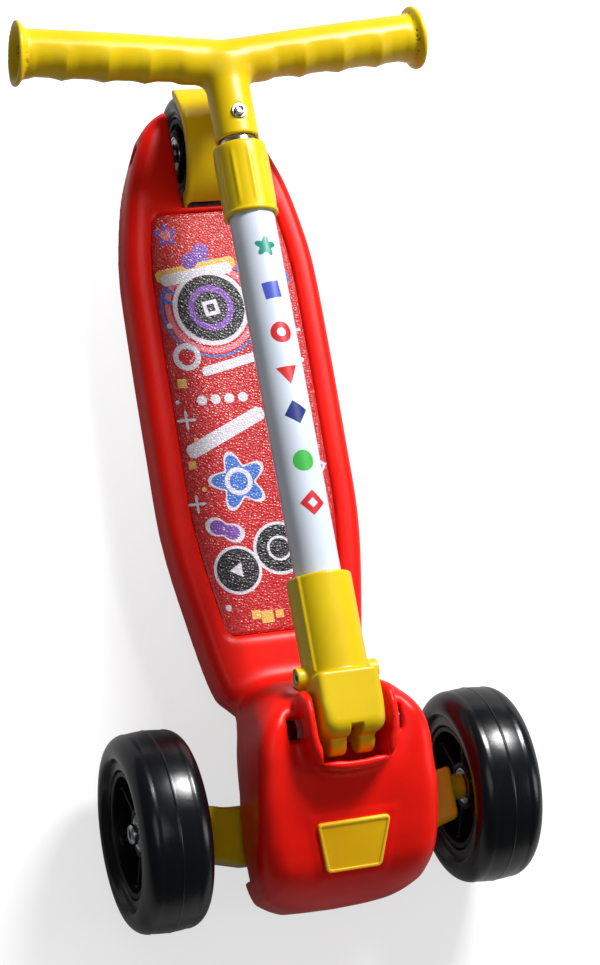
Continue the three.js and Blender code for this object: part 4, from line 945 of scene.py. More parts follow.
@dataclass
class Nose:
    """The bulbous nose: a broad top, dished along its middle, over walls that draw in to the floor.

    The flank's rows are shares of the height and of the plan's width. The tables of bottoms, crests,
    dishes and corners run along y. The two slopes scale the fields of the top and the underside,
    which are measured upright, to about the distance from them.
    """

    plan_points: tuple = (
        (0, -61.3), (25.8, -60.1), (37, -57.5), (45.5, -53.3), (49.6, -49.7), (54, -40.5), (56, -29.4),
        (56, -14.7), (55.4, 1.6), (54.2, 14.8), (53, 30), (51.3, 40), (48.6, 49), (45, 57.5), (40, 65.5),
        (31, 72.5), (17, 77.2), (0, 78))
    flank: tuple = (
        (0, 0.56), (0.04, 0.63), (0.13, 0.72), (0.27, 0.8), (0.42, 0.885), (0.58, 0.975), (0.76, 1), (1, 1))
    bottoms: tuple = (
        (-61.3, 44), (-60, 34), (-57, 25), (-54, 20.5), (-50, 17.5), (-45, 16), (60, 16), (70, 18), (78, 24))
    crests: tuple = (
        (-61.3, 78), (-60, 81), (-57, 88), (-52, 96), (-42, 107.5), (-28, 116.5), (-14, 123), (0, 129),
        (15, 134), (30, 138), (45, 139), (56, 134), (66, 121), (72, 103), (78, 76))
    dishes: tuple = (
        (-61.3, 1), (-42, 3), (-15, 3.5), (0, 3), (14, 3), (24, 6), (50, 8), (62, 4), (78, 0))
    across: tuple = (
        (-61.3, 12), (-50, 15), (-30, 15), (-14, 13), (15, 11), (36, 10), (47, 12), (58, 16), (78, 12))
    down: tuple = (
        (-61.3, 14), (-50, 20), (-30, 18), (-14, 14), (15, 12), (36, 13), (47, 20), (58, 32), (70, 28),
        (78, 14))
    dish_inner: tuple = (17.0, 24.0)
    dish_outer: tuple = (43.0, 46.0)
    dish_front: float = -14.6
    least: float = 4.0
    edge: float = 9.0
    top_slope: float = 0.9
    bottom_slope: float = 0.8
    wall: float = 4.2
    top_wall: float = 6.0

    def __post_init__(self) -> None:
        """Draws the plan."""
        self.plan = PlanMap(np.array(self.plan_points))

    def skin(self, x: Array, y: Array, z: Array, wall: float = 0.0, top_wall: float = 0.0,
             closed: bool = True) -> Array:
        """Field of the nose, or of the space inside its walls.

        The flank is the plan, scaled by a share that grows with the height. An elliptical corner
        joins it to the crest's height, and the top is dished from there towards its middle line.

        Args:
            x, y, z: Places.
            wall: How far the sides are moved inwards.
            top_wall: How far the top is moved down.
            closed: False leaves the shape open below.

        Returns:
            The field.
        """
        side = np.abs(x)
        crest = line_through(self.crests, y) - top_wall
        bottom = line_through(self.bottoms, y)
        lowest = min(height for _, height in self.bottoms)
        xs, ys = np.array(self.plan_points).T
        wide = np.maximum(np.interp(y, ys, xs) - wall, self.least)
        across = np.minimum(line_through(self.across, y), 0.6 * wide)
        down = np.minimum(line_through(self.down, y), 0.8 * (crest - bottom))
        height = (z - lowest) / np.maximum(crest - down - lowest, self.least)
        narrow = line_through(self.flank, np.clip(height, 0, 1))
        distance = self.plan.at(side / narrow, y) * 0.5 * (1 + narrow) + wall
        body = elliptical_corner(distance, z - crest, across, down)
        back = smoothstep(self.dish_front, FOLD_BOLT[0], y)
        outer = np.minimum(wide - 0.55 * across, between(*self.dish_outer, back))
        inner = np.minimum(0.5 * outer, between(*self.dish_inner, back))
        top = crest - line_through(self.dishes, y) * (1 - smoothstep(inner, outer, side))
        body = common(body, self.top_slope * (z - top), self.edge)
        if not closed:
            return body
        return common(body, self.bottom_slope * (bottom - z), self.edge)

    def height_at(self, y: float) -> float:
        """Height of the dish's middle line."""
        return float(line_through(self.crests, np.array(y)) - line_through(self.dishes, np.array(y)))


@dataclass
class Socket:
    """The lip round the fold block and the space inside it.

    The two slopes scale fields that are measured upright or across to about the distance from them.
    """

    half_width: float = 20.3
    swing: float = 22.8
    wall: float = 3.0
    lip_half: float = 28.0
    lip_length: float = 28.4
    lip_power: float = 3.0
    lip_edge: float = 4.0
    lip_slope: float = 0.92
    rear: float = 61.0
    flare: float = 23.2
    flare_length: float = 23.4
    flare_from: float = 138.0
    flare_to: float = 152.4
    flare_slope: float = 0.9
    floor: float = 98.0
    lip_top: tuple = (
        (-10, 145), (12, 145.6), (20, 147), (28, 149.6), (40, 152.4), (48, 152.2), (56, 149), (60, 144))
    saddle: float = 110.8
    edge: float = 1.0

    def plan(self, x: Array, y: Array, half: float | Array, length: float | Array) -> Array:
        """Distance to a tongue shape: a full rounded front end before straight sides."""
        ahead = np.abs(np.minimum(y - FOLD_BOLT[0], 0)) / length
        side = np.abs(x) / half
        power = self.lip_power
        size = (side ** power + ahead ** power) ** (1 / power) + TINY
        slope = np.hypot((side / size) ** (power - 1) / half, (ahead / size) ** (power - 1) / length) + TINY
        return (size - 1) / slope

    def lip(self, x: Array, y: Array, z: Array) -> Array:
        """Field of the raised wall before it is hollowed."""
        body = self.plan(x, y, self.lip_half, self.lip_length)
        body = common(body, self.lip_slope * (z - line_through(self.lip_top, y)), self.lip_edge)
        body = common(body, y - self.rear, self.lip_edge)
        return np.maximum(body, self.floor - z)

    def space(self, x: Array, y: Array, z: Array, wall: float = 0.0) -> Array:
        """Field of the room that the fold block needs, grown by a wall where one is given.

        It is a drum round the bolt, joined to the room behind the bolt over the saddle and to a
        narrow room above it.
        """
        fold_y, fold_z = FOLD_BOLT
        half, reach = self.half_width + wall, self.swing + wall
        drum = off_line(y, z, FOLD_BOLT) - reach
        behind = np.maximum(fold_y - y, self.saddle - wall - z)
        above = np.maximum(np.maximum(fold_y - reach + 2 * GAP - y, y - fold_y - GAP), fold_z - z)
        return common(np.abs(x) - half, np.minimum(np.minimum(drum, behind), above), self.edge)

    def flared(self, x: Array, y: Array, z: Array) -> Array:
        """Field of the widening mouth: the tongue shape grows with height, and on above the lip."""
        share = np.clip((z - self.flare_from) / (self.flare_to - self.flare_from), 0, 1.4)
        half = between(self.half_width, self.flare, share)
        length = between(self.swing, self.flare_length, share)
        body = self.plan(x, y, half, length) * self.flare_slope
        return np.maximum(body, self.flare_from - z)


@dataclass
class Badge:
    """The yellow insert on the nose, a trapezoid with a lighter raised border.

    The frame is the nose's own low ridge round the insert, highest at ridge_at outside its outline.
    """

    nose: Nose
    wide: float = 22.6
    narrow: float = 17.0
    rear: float = -14.6
    front: float = -41.9
    proud: float = 0.9
    depth: float = 2.6
    border: float = 1.9
    border_height: float = 0.5
    corner: float = 3.0
    ridge: float = 0.7
    ridge_at: float = 2.6
    ridge_above: float = 70.0

    def frame(self, x: Array, y: Array, z: Array) -> Array:
        """How far the nose is raised round the badge: a soft ridge along the trapezoid's outline."""
        half = between(self.narrow, self.wide, (y - self.front) / (self.rear - self.front))
        outside = common(np.abs(x) - half, slab(y, self.front, self.rear), self.corner)
        return self.ridge * np.exp(-((outside - self.ridge_at) / self.ridge_at) ** 2) * (z > self.ridge_above)

    def build(self, place: Placement) -> None:
        """Adds the plate and its border, both bedded in the nose's slope."""
        rise = self.nose.height_at(self.rear) - self.nose.height_at(self.front)
        slope = np.arctan2(rise, self.rear - self.front)
        middle = (self.rear + self.front) / 2
        half = (self.rear - self.front) / 2 / np.cos(slope)
        origin = np.array([0, middle, self.nose.height_at(middle)])
        along = np.array([0, np.cos(slope), np.sin(slope)])
        normal = np.array([0, -np.sin(slope), np.cos(slope)])

        def ring(inward: float, height: float) -> Array:
            """One loop of the trapezoid with rounded corners, moved inwards and lifted off the slope."""
            ends = half - inward
            corners = [(-self.narrow + inward, -ends), (self.narrow - inward, -ends),
                       (self.wide - inward, ends), (-self.wide + inward, ends)]
            line = softened([*corners, corners[0]], max(self.corner - inward, 1.2), 7)[:-1]
            flat = np.concatenate([line, np.zeros((len(line), 1))], 1)
            return origin + flat[:, :1] * (1, 0, 0) + flat[:, 1:2] * along + height * normal

        lip, inner = self.proud + self.border_height, self.border
        loops = [(0, -self.depth), (0, lip - 0.4), (0.15, lip - 0.12), (0.45, lip), (inner - 0.5, lip),
                 (inner - 0.15, lip - 0.12), (inner, self.proud - 0.1), (inner, -self.depth)]
        frame = wrapped_rings(np.stack([ring(*loop) for loop in loops]))
        plate = [(inner - 0.4, -self.depth), (inner - 0.4, self.proud)]
        plate += [(inner + inward, self.proud) for inward in (0.6, 3.0, 6.0)]
        insert = capped_rings(np.stack([ring(*loop) for loop in plate]))
        place.add("badge_border", frame, "deck", Slot.BADGE, ["nose_badge"], sharp=40,
                  look=place.looks.border)
        place.add("badge_plate", insert, "deck", Slot.BADGE, sharp=40)


@dataclass
class Moulding:
    """Deck, nose and socket as one piece, with the openings for axle, wheel and bolt, and a raised frame
    round the badge.

    Fillets and roundings are named after what they join or what opening they go round. The window
    leaves the front axle's beam room to steer.
    """

    deck: Deck = field(default_factory=Deck)
    nose: Nose = field(default_factory=Nose)
    socket: Socket = field(default_factory=Socket)
    steps: tuple = (1.68, 2.4)
    box: tuple = ((-68, -64.5, 12.5), (68, 463.5, 156.5))
    coarse_span: tuple = (112, 374)
    coarse_step: float = 4.2
    rib_reach: float = 2.0
    rib_step: float = 1.0
    least_wall: float = 5.0
    deck_fillets: tuple = (3.0, 14.0)
    fillet_heights: tuple = (30.0, 48.0)
    lip_fillet: float = 7.0
    hollow_fillet: float = 3.0
    opening_edge: float = 2.0
    window_low: tuple = (24, -37.8, 33)
    window_high: tuple = (70, 18, 75)
    window_corner: float = 4.0
    window_edge: float = 1.5
    nut_radius: float = 7.4
    nut_depth: float = 7.0
    axle_bore: float = 6.8
    axle_from: float = 34.0

    def __post_init__(self) -> None:
        """Makes the badge, which lies on the nose."""
        self.badge = Badge(self.nose)

    def solid(self, x: Array, y: Array, z: Array) -> Array:
        """Field of the whole moulding."""
        nose, deck, socket = self.nose, self.deck, self.socket
        fillet = between(*self.deck_fillets, smoothstep(*self.fillet_heights, z))
        body = joined(nose.skin(x, y, z) - self.badge.frame(x, y, z), deck.outside(x, y, z), fillet)
        body = joined(body, socket.lip(x, y, z), self.lip_fillet)
        inside = nose.skin(x, y, z, nose.wall, nose.top_wall, closed=False)
        under = joined(inside, deck.hollow(x, y, z), self.hollow_fillet)
        under = np.maximum(under, -socket.space(x, y, z, socket.wall))
        under = np.maximum(under, body + self.least_wall)
        nut = rounded_rod(off_line(y, z, FOLD_BOLT), np.abs(x), self.nut_radius, socket.lip_half,
                          socket.lip_half + self.nut_depth, edge=1.0)
        body = without(body, under, rounding=1.0)
        body = without(body, np.minimum(socket.space(x, y, z), socket.flared(x, y, z)), self.opening_edge)
        body = without(body, deck.slot_space(x, y, z), self.opening_edge)
        window = rounded_box(np.abs(x), y, z, self.window_low, self.window_high, self.window_corner)
        body = without(without(body, window, self.window_edge), nut, self.window_edge)
        axle = np.maximum(off_line(y, z, REAR_AXLE) - self.axle_bore, self.axle_from - np.abs(x))
        return without(body, axle, rounding=1.0)

    def build(self, place: Placement) -> None:
        """Adds the moulding, on a grid that is coarse along the mat and fine over each rib there."""
        step = grid_step(self.steps)
        (left, front, low), (right, rear, high) = self.box
        coarse_from, coarse_to = self.coarse_span
        xs = np.linspace(left, right, 2 * int(round(right / step)) + 2)
        stops = [(front, step), (coarse_from, self.coarse_step)]
        for rib in self.deck.rib_places:
            if coarse_from < rib < coarse_to:
                stops += [(rib - self.rib_reach, self.rib_step), (rib + self.rib_reach, self.coarse_step)]
        ys = spaced(*stops, (coarse_to, step), (rear, step))
        zs = spaced((low, step), (high, step))
        mesh = surface_of(self.solid, xs, ys, zs)
        place.add("deck_moulding", mesh, "deck", Slot.RED, ["deck_shell"])


def slab_mesh(top: Array, low: Array) -> MeshData:
    """Closed slab between two grids of points that lie over each other.

    Args:
        top: Upper grid, rows along y and columns along rising x.
        low: Lower grid of the same shape.

    Returns:
        The closed mesh.
    """
    rows, columns = top.shape[:2]
    count = rows * columns
    index = np.arange(count).reshape(rows, columns)
    rim = np.concatenate([index[0], index[1:, -1], index[-1, -2::-1], index[-2:0:-1, 0]])
    after = np.roll(rim, -1)
    side = np.stack([rim + count, after + count, after, rim], 1)
    upper = grid_faces(rows, columns, False)
    return MeshData(
        np.concatenate([top.reshape(-1, 3), low.reshape(-1, 3)]), [upper, upper[:, ::-1] + count, side])


class Outline(Enum):
    """Plain shapes of the prints, each a radius as a function of the angle."""

    DISC = "disc"
    SQUARE = "square"
    DIAMOND = "diamond"
    TRIANGLE = "triangle"
    SPARK = "spark"
    PETALS = "petals"
    BAR = "bar"
    LEAF = "leaf"

    def radius(self, angle: Array) -> Array:
        """Radius of the outline at each angle, with 1 as its greatest.

        A polygon's radius is the apothem over the cosine of the angle from its nearest side's middle.
        """
        across, up = np.abs(np.cos(angle)), np.abs(np.sin(angle))
        if self is Outline.DISC:
            return np.ones_like(angle)
        if self is Outline.PETALS:
            return 0.78 + 0.22 * np.cos(5 * angle)
        if self is Outline.SPARK:
            return 0.22 + 0.78 * np.abs(np.cos(2 * angle)) ** 5
        if self is Outline.LEAF:
            return 0.34 + 0.66 * across ** 2.2
        if self is Outline.BAR:
            return np.minimum(1 / np.maximum(across, 1e-3), 0.16 / np.maximum(up, 1e-3))
        polygons = {Outline.SQUARE: (4, TURN / 8), Outline.DIAMOND: (4, 0.0), Outline.TRIANGLE: (3, TURN / 4)}
        sides, turn = polygons[self]
        part = TURN / sides
        return np.cos(part / 2) / np.cos((angle - turn + part / 2) % part - part / 2)


@dataclass(frozen=True)
class Motif:
    """One printed shape: outline, place, size, ink, turn in degrees, and hole as a share of its radius."""

    outline: Outline
    x: float
    y: float
    size: float
    ink: Enum
    turn: float = 0.0
    hole: float = 0.0

    def film(self, lift: Callable[[Array, Array, float], Array], height: float, rows: int) -> MeshData:
        """Closed film that lies on a surface: an upper skin, and a lower one sunk into what carries it.

        Args:
            lift: Carries flat places, raised by a height, to points.
            height: How far the film stands proud.
            rows: Rings of points from the hole or the middle out to the edge.

        Returns:
            The mesh.
        """
        steps, sunk, least_hole = 72, 0.25, 0.02
        angle = np.arange(steps) / steps * TURN
        edge = self.outline.radius(angle)
        share = np.linspace(max(self.hole, least_hole), 1, rows)[:, None]
        spin = angle + np.radians(self.turn)
        u = self.x + self.size * share * edge * np.cos(spin)
        v = self.y + self.size * share * edge * np.sin(spin)
        rings = np.concatenate([lift(u, v, -sunk), lift(u, v, height)[::-1]])
        return wrapped_rings(rings) if self.hole > 0 else capped_rings(rings)


def motifs(inks: type[Enum], rows: Sequence[tuple]) -> tuple[Motif, ...]:
    """Printed shapes from a table.

    Args:
        inks: The inks that the table's names choose from.
        rows: For each shape its outline, x, y, size and ink, and its turn and hole where it has them.

    Returns:
        The shapes, lowest first.
    """
    return tuple(
        Motif(Outline(shape), x, y, size, inks[ink], *rest) for shape, x, y, size, ink, *rest in rows)


@dataclass
class Mat:
    """The printed mat in the deck's recess, and the shapes of its print."""

    deck: Deck
    edge: float = 1.6
    edge_fall: float = 0.5
    print_height: float = 0.05
    layer: float = 0.004
    motifs: tuple = motifs(Ink, (
        ("disc", -12, 322, 33, "BLUE", 0, 0.95), ("disc", -12, 322, 30, "PINK", 0, 0.88),
        ("bar", -18, 348, 27, "GOLD", 8), ("petals", -34, 372, 8, "VIOLET", 20),
        ("disc", -34, 372, 3.4, "PINK"), ("leaf", -17, 357, 11, "VIOLET", 35),
        ("disc", 27, 366, 6, "GOLD", 0, 0.6), ("bar", -18, 345, 24, "WHITE", 8),
        ("disc", -38, 331, 5, "BLUE", 0, 0.55), ("disc", -12, 322, 25, "WHITE"),
        ("disc", -12, 322, 22, "BLACK"), ("disc", -12, 322, 15, "VIOLET", 0, 0.72),
        ("diamond", -12, 322, 7, "WHITE", 10, 0.5), ("disc", 34, 338, 9, "BLUE"),
        ("disc", 34, 338, 4.5, "WHITE"), ("disc", -33, 291, 9, "WHITE", 0, 0.62),
        ("bar", -6, 284, 19, "WHITE", 12), ("diamond", -39, 274, 4.2, "GOLD"),
        ("spark", 38, 303, 7, "WHITE"), *(("disc", x, 262, 3.2, "WHITE") for x in (-28, -19, -10, -1)),
        ("spark", -40, 250, 6.5, "WHITE"), ("bar", -16, 240, 29, "WHITE", 24),
        ("triangle", 35, 262, 8, "BLUE", 15), ("disc", 37, 241, 4.4, "GOLD", 0, 0.5),
        ("petals", -13, 208, 20, "WHITE", 30), ("petals", -13, 208, 17.6, "BLUE", 30),
        ("disc", -13, 208, 9, "WHITE", 0, 0.66), ("diamond", -41, 221, 3.6, "GOLD"),
        ("spark", -42, 196, 6, "WHITE"), ("square", 38, 212, 8.5, "WHITE", 12),
        ("square", 38, 212, 6, "VIOLET", 12), ("leaf", -27, 178, 13, "WHITE", -25),
        ("leaf", -27, 178, 10, "VIOLET", -25), ("disc", -23, 152, 15.5, "WHITE"),
        ("disc", -23, 152, 13.6, "BLACK"), ("disc", 6, 163, 17, "WHITE"), ("disc", 6, 163, 15, "BLACK"),
        ("disc", 6, 163, 8, "WHITE", 0, 0.8), ("triangle", -23, 152, 5.5, "WHITE", 30),
        ("spark", 33, 182, 6, "GOLD"), ("disc", 34, 145, 7.5, "BLUE", 0, 0.5),
        ("disc", -33, 129, 2, "WHITE"), ("diamond", -16, 123, 4, "GOLD"), ("diamond", -9, 121, 5.5, "GOLD"),
        ("diamond", -1, 122, 3.6, "GOLD"), ("spark", 24, 122, 5, "WHITE"), ("disc", -41, 312, 1.8, "WHITE"),
        ("disc", -36, 237, 1.5, "GOLD"), ("disc", -44, 262, 1.3, "WHITE"), ("disc", 42, 283, 1.6, "WHITE"),
        ("disc", 30, 285, 1.8, "GOLD"), ("disc", -36, 205, 1.6, "GOLD")))

    @property
    def top(self) -> float:
        """Height of the mat's face."""
        return self.deck.recess_floor + GAP + self.deck.mat_thickness

    def half_width(self, y: Array) -> Array:
        """Half width of the mat: the deck's outline less the rim, drawn in round the corners."""
        deck = self.deck
        ends = (deck.mat_front + GAP, deck.mat_rear - GAP)
        length = deck.rear - deck.front
        rows = [(deck.front + long * length, wide * deck.half_width) for long, wide in deck.shares[1:-1]]
        near = np.clip(np.minimum(y - ends[0], ends[1] - y) / deck.mat_corner, 0, 1)
        corner = deck.mat_corner * (1 - np.sqrt(1 - (1 - near) ** 2))
        return line_through(rows, y) - deck.rim - GAP - corner

    def build(self, place: Placement) -> None:
        """Adds the mat and one film for each ink."""
        front, rear = self.deck.mat_front + GAP, self.deck.mat_rear - GAP
        t = 0.5 - 0.5 * np.cos(np.linspace(0, np.pi, 180))
        y = (front + (rear - front) * t)[:, None]
        u = np.sin(np.linspace(-np.pi / 2, np.pi / 2, 41))[None, :]
        x = u * self.half_width(y)
        y = np.broadcast_to(y, x.shape)
        rim = np.minimum(np.minimum(y - front, rear - y), self.half_width(y) - np.abs(x))
        fall = self.edge_fall * (1 - smoothstep(0, self.edge, rim))
        top = np.stack([x, y, self.top - fall], -1)
        low = np.stack([x, y, np.full_like(x, self.deck.recess_floor + GAP)], -1)
        place.add("mat", slab_mesh(top, low), "deck", Slot.PRINT, ["deck_mat"], sharp=50)

        def lift(a: Array, b: Array, height: float) -> Array:
            """Flat places on the mat's face, raised by a height."""
            return np.stack([a, b, np.full_like(a, self.top + height)], -1)

        for ink in Ink:
            films = [motif.film(lift, self.print_height + self.layer * order, 3)
                     for order, motif in enumerate(self.motifs) if motif.ink is ink]
            place.add(f"mat_{ink.name.lower()}_print", together(films), "deck", Slot.PRINT, sharp=40,
                      look=place.looks.inks[ink])


# Wheels


@dataclass
class Wheel:
    """A cast wheel: tyre with rounded shoulders and a mould line, dished hub, two bearings."""

    radius: float
    half_width: float
    crown: float
    shoulder: float
    rim_offset: float
    rim_radius: float
    seat_radius: float
    seat_half: float
    inner_hub: float
    outer_hub: float
    ribs: int
    bearing: float = 11.0
    bearing_width: float = 7.0
    bearing_bore: float = 4.3
    hub_wall: float = 3.4
    line_height: float = 0.28
    line_width: float = 0.45
    steps: tuple = (1.0, 1.6)
    steps_across: float = 0.8

    def mould_line(self, across: Array) -> Array:
        """Height of the raised line round the tread's middle, measured down from its top."""
        return self.line_height * np.exp(-(across / self.line_width) ** 2) - self.line_height

    def tyre(self) -> MeshData:
        """Tyre: a crowned tread falling into round shoulders, a raised mould line, and an inner seat."""
        flat = self.half_width - self.shoulder
        fine = np.array([0, 0.25, 0.5, 0.8, 1.2])
        across = np.linspace(0, flat, 12)
        tread = self.radius - self.crown * (across / flat) ** 2 / 2 + self.mould_line(across)
        angle = np.linspace(0, np.pi / 2, 14)
        top = self.radius - self.crown / 2 - self.shoulder
        shoulder = np.stack([top + self.shoulder * np.cos(angle), flat + self.shoulder * np.sin(angle)], 1)
        rim, wide, dish = self.rim_radius, self.half_width, self.rim_offset
        face = [(rim + 2.2, wide - 0.15), (rim + 1.0, wide - 0.7), (rim, dish + 0.8), (rim - 1.2, dish - 1.2)]
        tail = [(self.seat_radius + 0.8, self.seat_half + 0.5), (self.seat_radius, self.seat_half - 0.6)]
        half = np.concatenate([
            np.stack([self.radius + self.mould_line(fine), fine], 1), np.stack([tread, across], 1)[2:],
            shoulder[1:], face, tail])
        mirrored = (half[1:] * (1, -1))[::-1]
        ring = np.concatenate([mirrored, half, mirrored[:1]])
        return revolved(ring, Axis.X, steps=144)

    def hub(self, x: Array, y: Array, z: Array) -> Array:
        """Field of the hub: rim and boss joined by a web and by ribs, bored for the bearings."""
        off = np.hypot(y, z)
        outer = self.seat_radius - GAP
        seat = self.bearing + GAP
        boss = seat + self.hub_wall
        half_wall = self.hub_wall / 2
        middle = (self.outer_hub - self.inner_hub) / 2
        half = (self.outer_hub + self.inner_hub) / 2
        end = self.seat_half - GAP
        rim = rounded_rod(np.abs(off - outer + half_wall), x, half_wall, -end, end, edge=0.8)
        core = rounded_rod(off, x, boss, middle - half, middle + half, edge=0.9)
        web = np.maximum(np.abs(x) - half_wall, off - outer + 1)
        part = TURN / self.ribs
        turn = (np.arctan2(y, z) + part / 2) % part - part / 2
        rib = np.maximum(np.abs(off * np.sin(turn)) - self.hub_wall * 0.35, slab(off, boss - 2, outer - 1))
        slope = np.interp(off, [boss, outer], [half * 0.95, self.seat_half * 0.7])
        rib = common(rib, np.abs(x) - slope, rounding=0.8)
        body = joined(joined(rim, joined(core, web, fillet=3.0), fillet=3.0), rib, fillet=2.0)
        depth = self.bearing_width + GAP
        seats = np.maximum(off - self.bearing - GAP, -slab(x, middle - half + depth, middle + half - depth))
        bore = off - (self.bearing - self.hub_wall)
        return without(body, np.minimum(seats, bore), rounding=0.6)

    def bearing_mesh(self, low: float, high: float) -> MeshData:
        """Bearing: outer race, sunk shield and inner race, turned about the axle."""
        outer, inner, shield = self.bearing, self.bearing_bore, 0.5
        half = [(outer, 0), (outer - 1.4, 0), (outer - 1.7, shield), (inner + 2.1, shield), (inner + 1.8, 0),
                (inner, 0)]
        face = [(r, high - h) for r, h in half]
        back = [(r, low + h) for r, h in reversed(half)]
        return revolved(softened([*face, *back, face[0]], radius=0.3, steps=3), Axis.X, steps=64)

    def build(self, place: Placement, name: str, body: str, centre: Point, side: int,
              nodes: Sequence[str]) -> None:
        """Adds the wheel's pieces.

        Args:
            place: The placement.
            name: Start of each piece's name.
            body: Body that turns with the wheel.
            centre: Middle of the wheel.
            side: 1 with the outer face towards +X, -1 towards -X.
            nodes: CAD nodes that tyre, hub, outer bearing and inner bearing stand for.
        """
        step, fine = grid_step(self.steps), self.steps_across
        reach, across = self.seat_radius + 2, self.seat_half + 2
        line = spaced((-reach, step), (reach + step, step))
        hub = surface_of(self.hub, spaced((-across, fine), (across, fine)), line, line)
        outer = self.bearing_mesh(self.outer_hub - self.bearing_width, self.outer_hub)
        inner = self.bearing_mesh(-self.inner_hub, self.bearing_width - self.inner_hub)
        pieces = ((self.tyre(), "tyre_skin", Slot.WHEEL, 45), (hub, "hub_skin", Slot.BLACK, 0),
                  (outer, "outer_race", Slot.STEEL, 35), (inner, "inner_race", Slot.STEEL, 35))
        for (mesh, part, slot, sharp), node in zip(pieces, nodes):
            turned = mesh if side > 0 else mesh.mirrored_in_x()
            place.add(f"{name}_{part}", turned.moved(centre), body, slot, [node], sharp)


# Fasteners


@dataclass(frozen=True)
class BoltHead:
    """A bolt's head with a hexagonal socket, drawn with its face towards +Z at height 0 and up."""

    radius: float
    height: float
    socket: float
    shank: float
    length: float

    def mesh(self, axis: Axis, sign: int, centre: Point, steps: int = 48) -> MeshData:
        """Rings from the shank's end up over the head and down into the socket.

        The socket's rings follow a hexagon: the apothem over the cosine of the angle from the
        nearest side's middle. The others are circles.

        Args:
            axis: The axis that the head points along.
            sign: 1 to point along it, -1 against it.
            centre: Middle of the head's underside.
            steps: Points around.

        Returns:
            The mesh, turned and moved to its place.
        """
        angle = np.arange(steps) / steps * TURN
        hexagon = 1 / np.cos((angle + TURN / 12) % (TURN / 6) - TURN / 12) * 0.9
        circle = np.ones_like(angle)
        radius, height, socket = self.radius, self.height, self.socket
        bevel = 0.18 * height
        rows = [(self.shank, -self.length, circle), (self.shank, 0, circle), (radius, 0, circle),
                (radius, height - 2 * bevel, circle), (radius - 0.4 * bevel, height - bevel, circle),
                (radius - 1.4 * bevel, height, circle), (socket + 0.3, height, hexagon),
                (socket, height - 0.25, hexagon), (socket, 0.35 * height, hexagon)]
        rings = np.stack([
            np.stack([r * shape * np.cos(angle), r * shape * np.sin(angle), np.full_like(angle, z)], -1)
            for r, z, shape in rows])
        mesh = capped_rings(rings)
        x, y, z = mesh.points.T
        points = np.stack({Axis.X: (z, x, y), Axis.Y: (y, z, x), Axis.Z: (x, y, z)}[axis], 1)
        if sign < 0:
            points = points * {Axis.X: (-1, -1, 1), Axis.Y: (1, -1, -1), Axis.Z: (-1, 1, -1)}[axis]
        return MeshData(points + np.asarray(centre, float), mesh.faces)


# Stem and handle


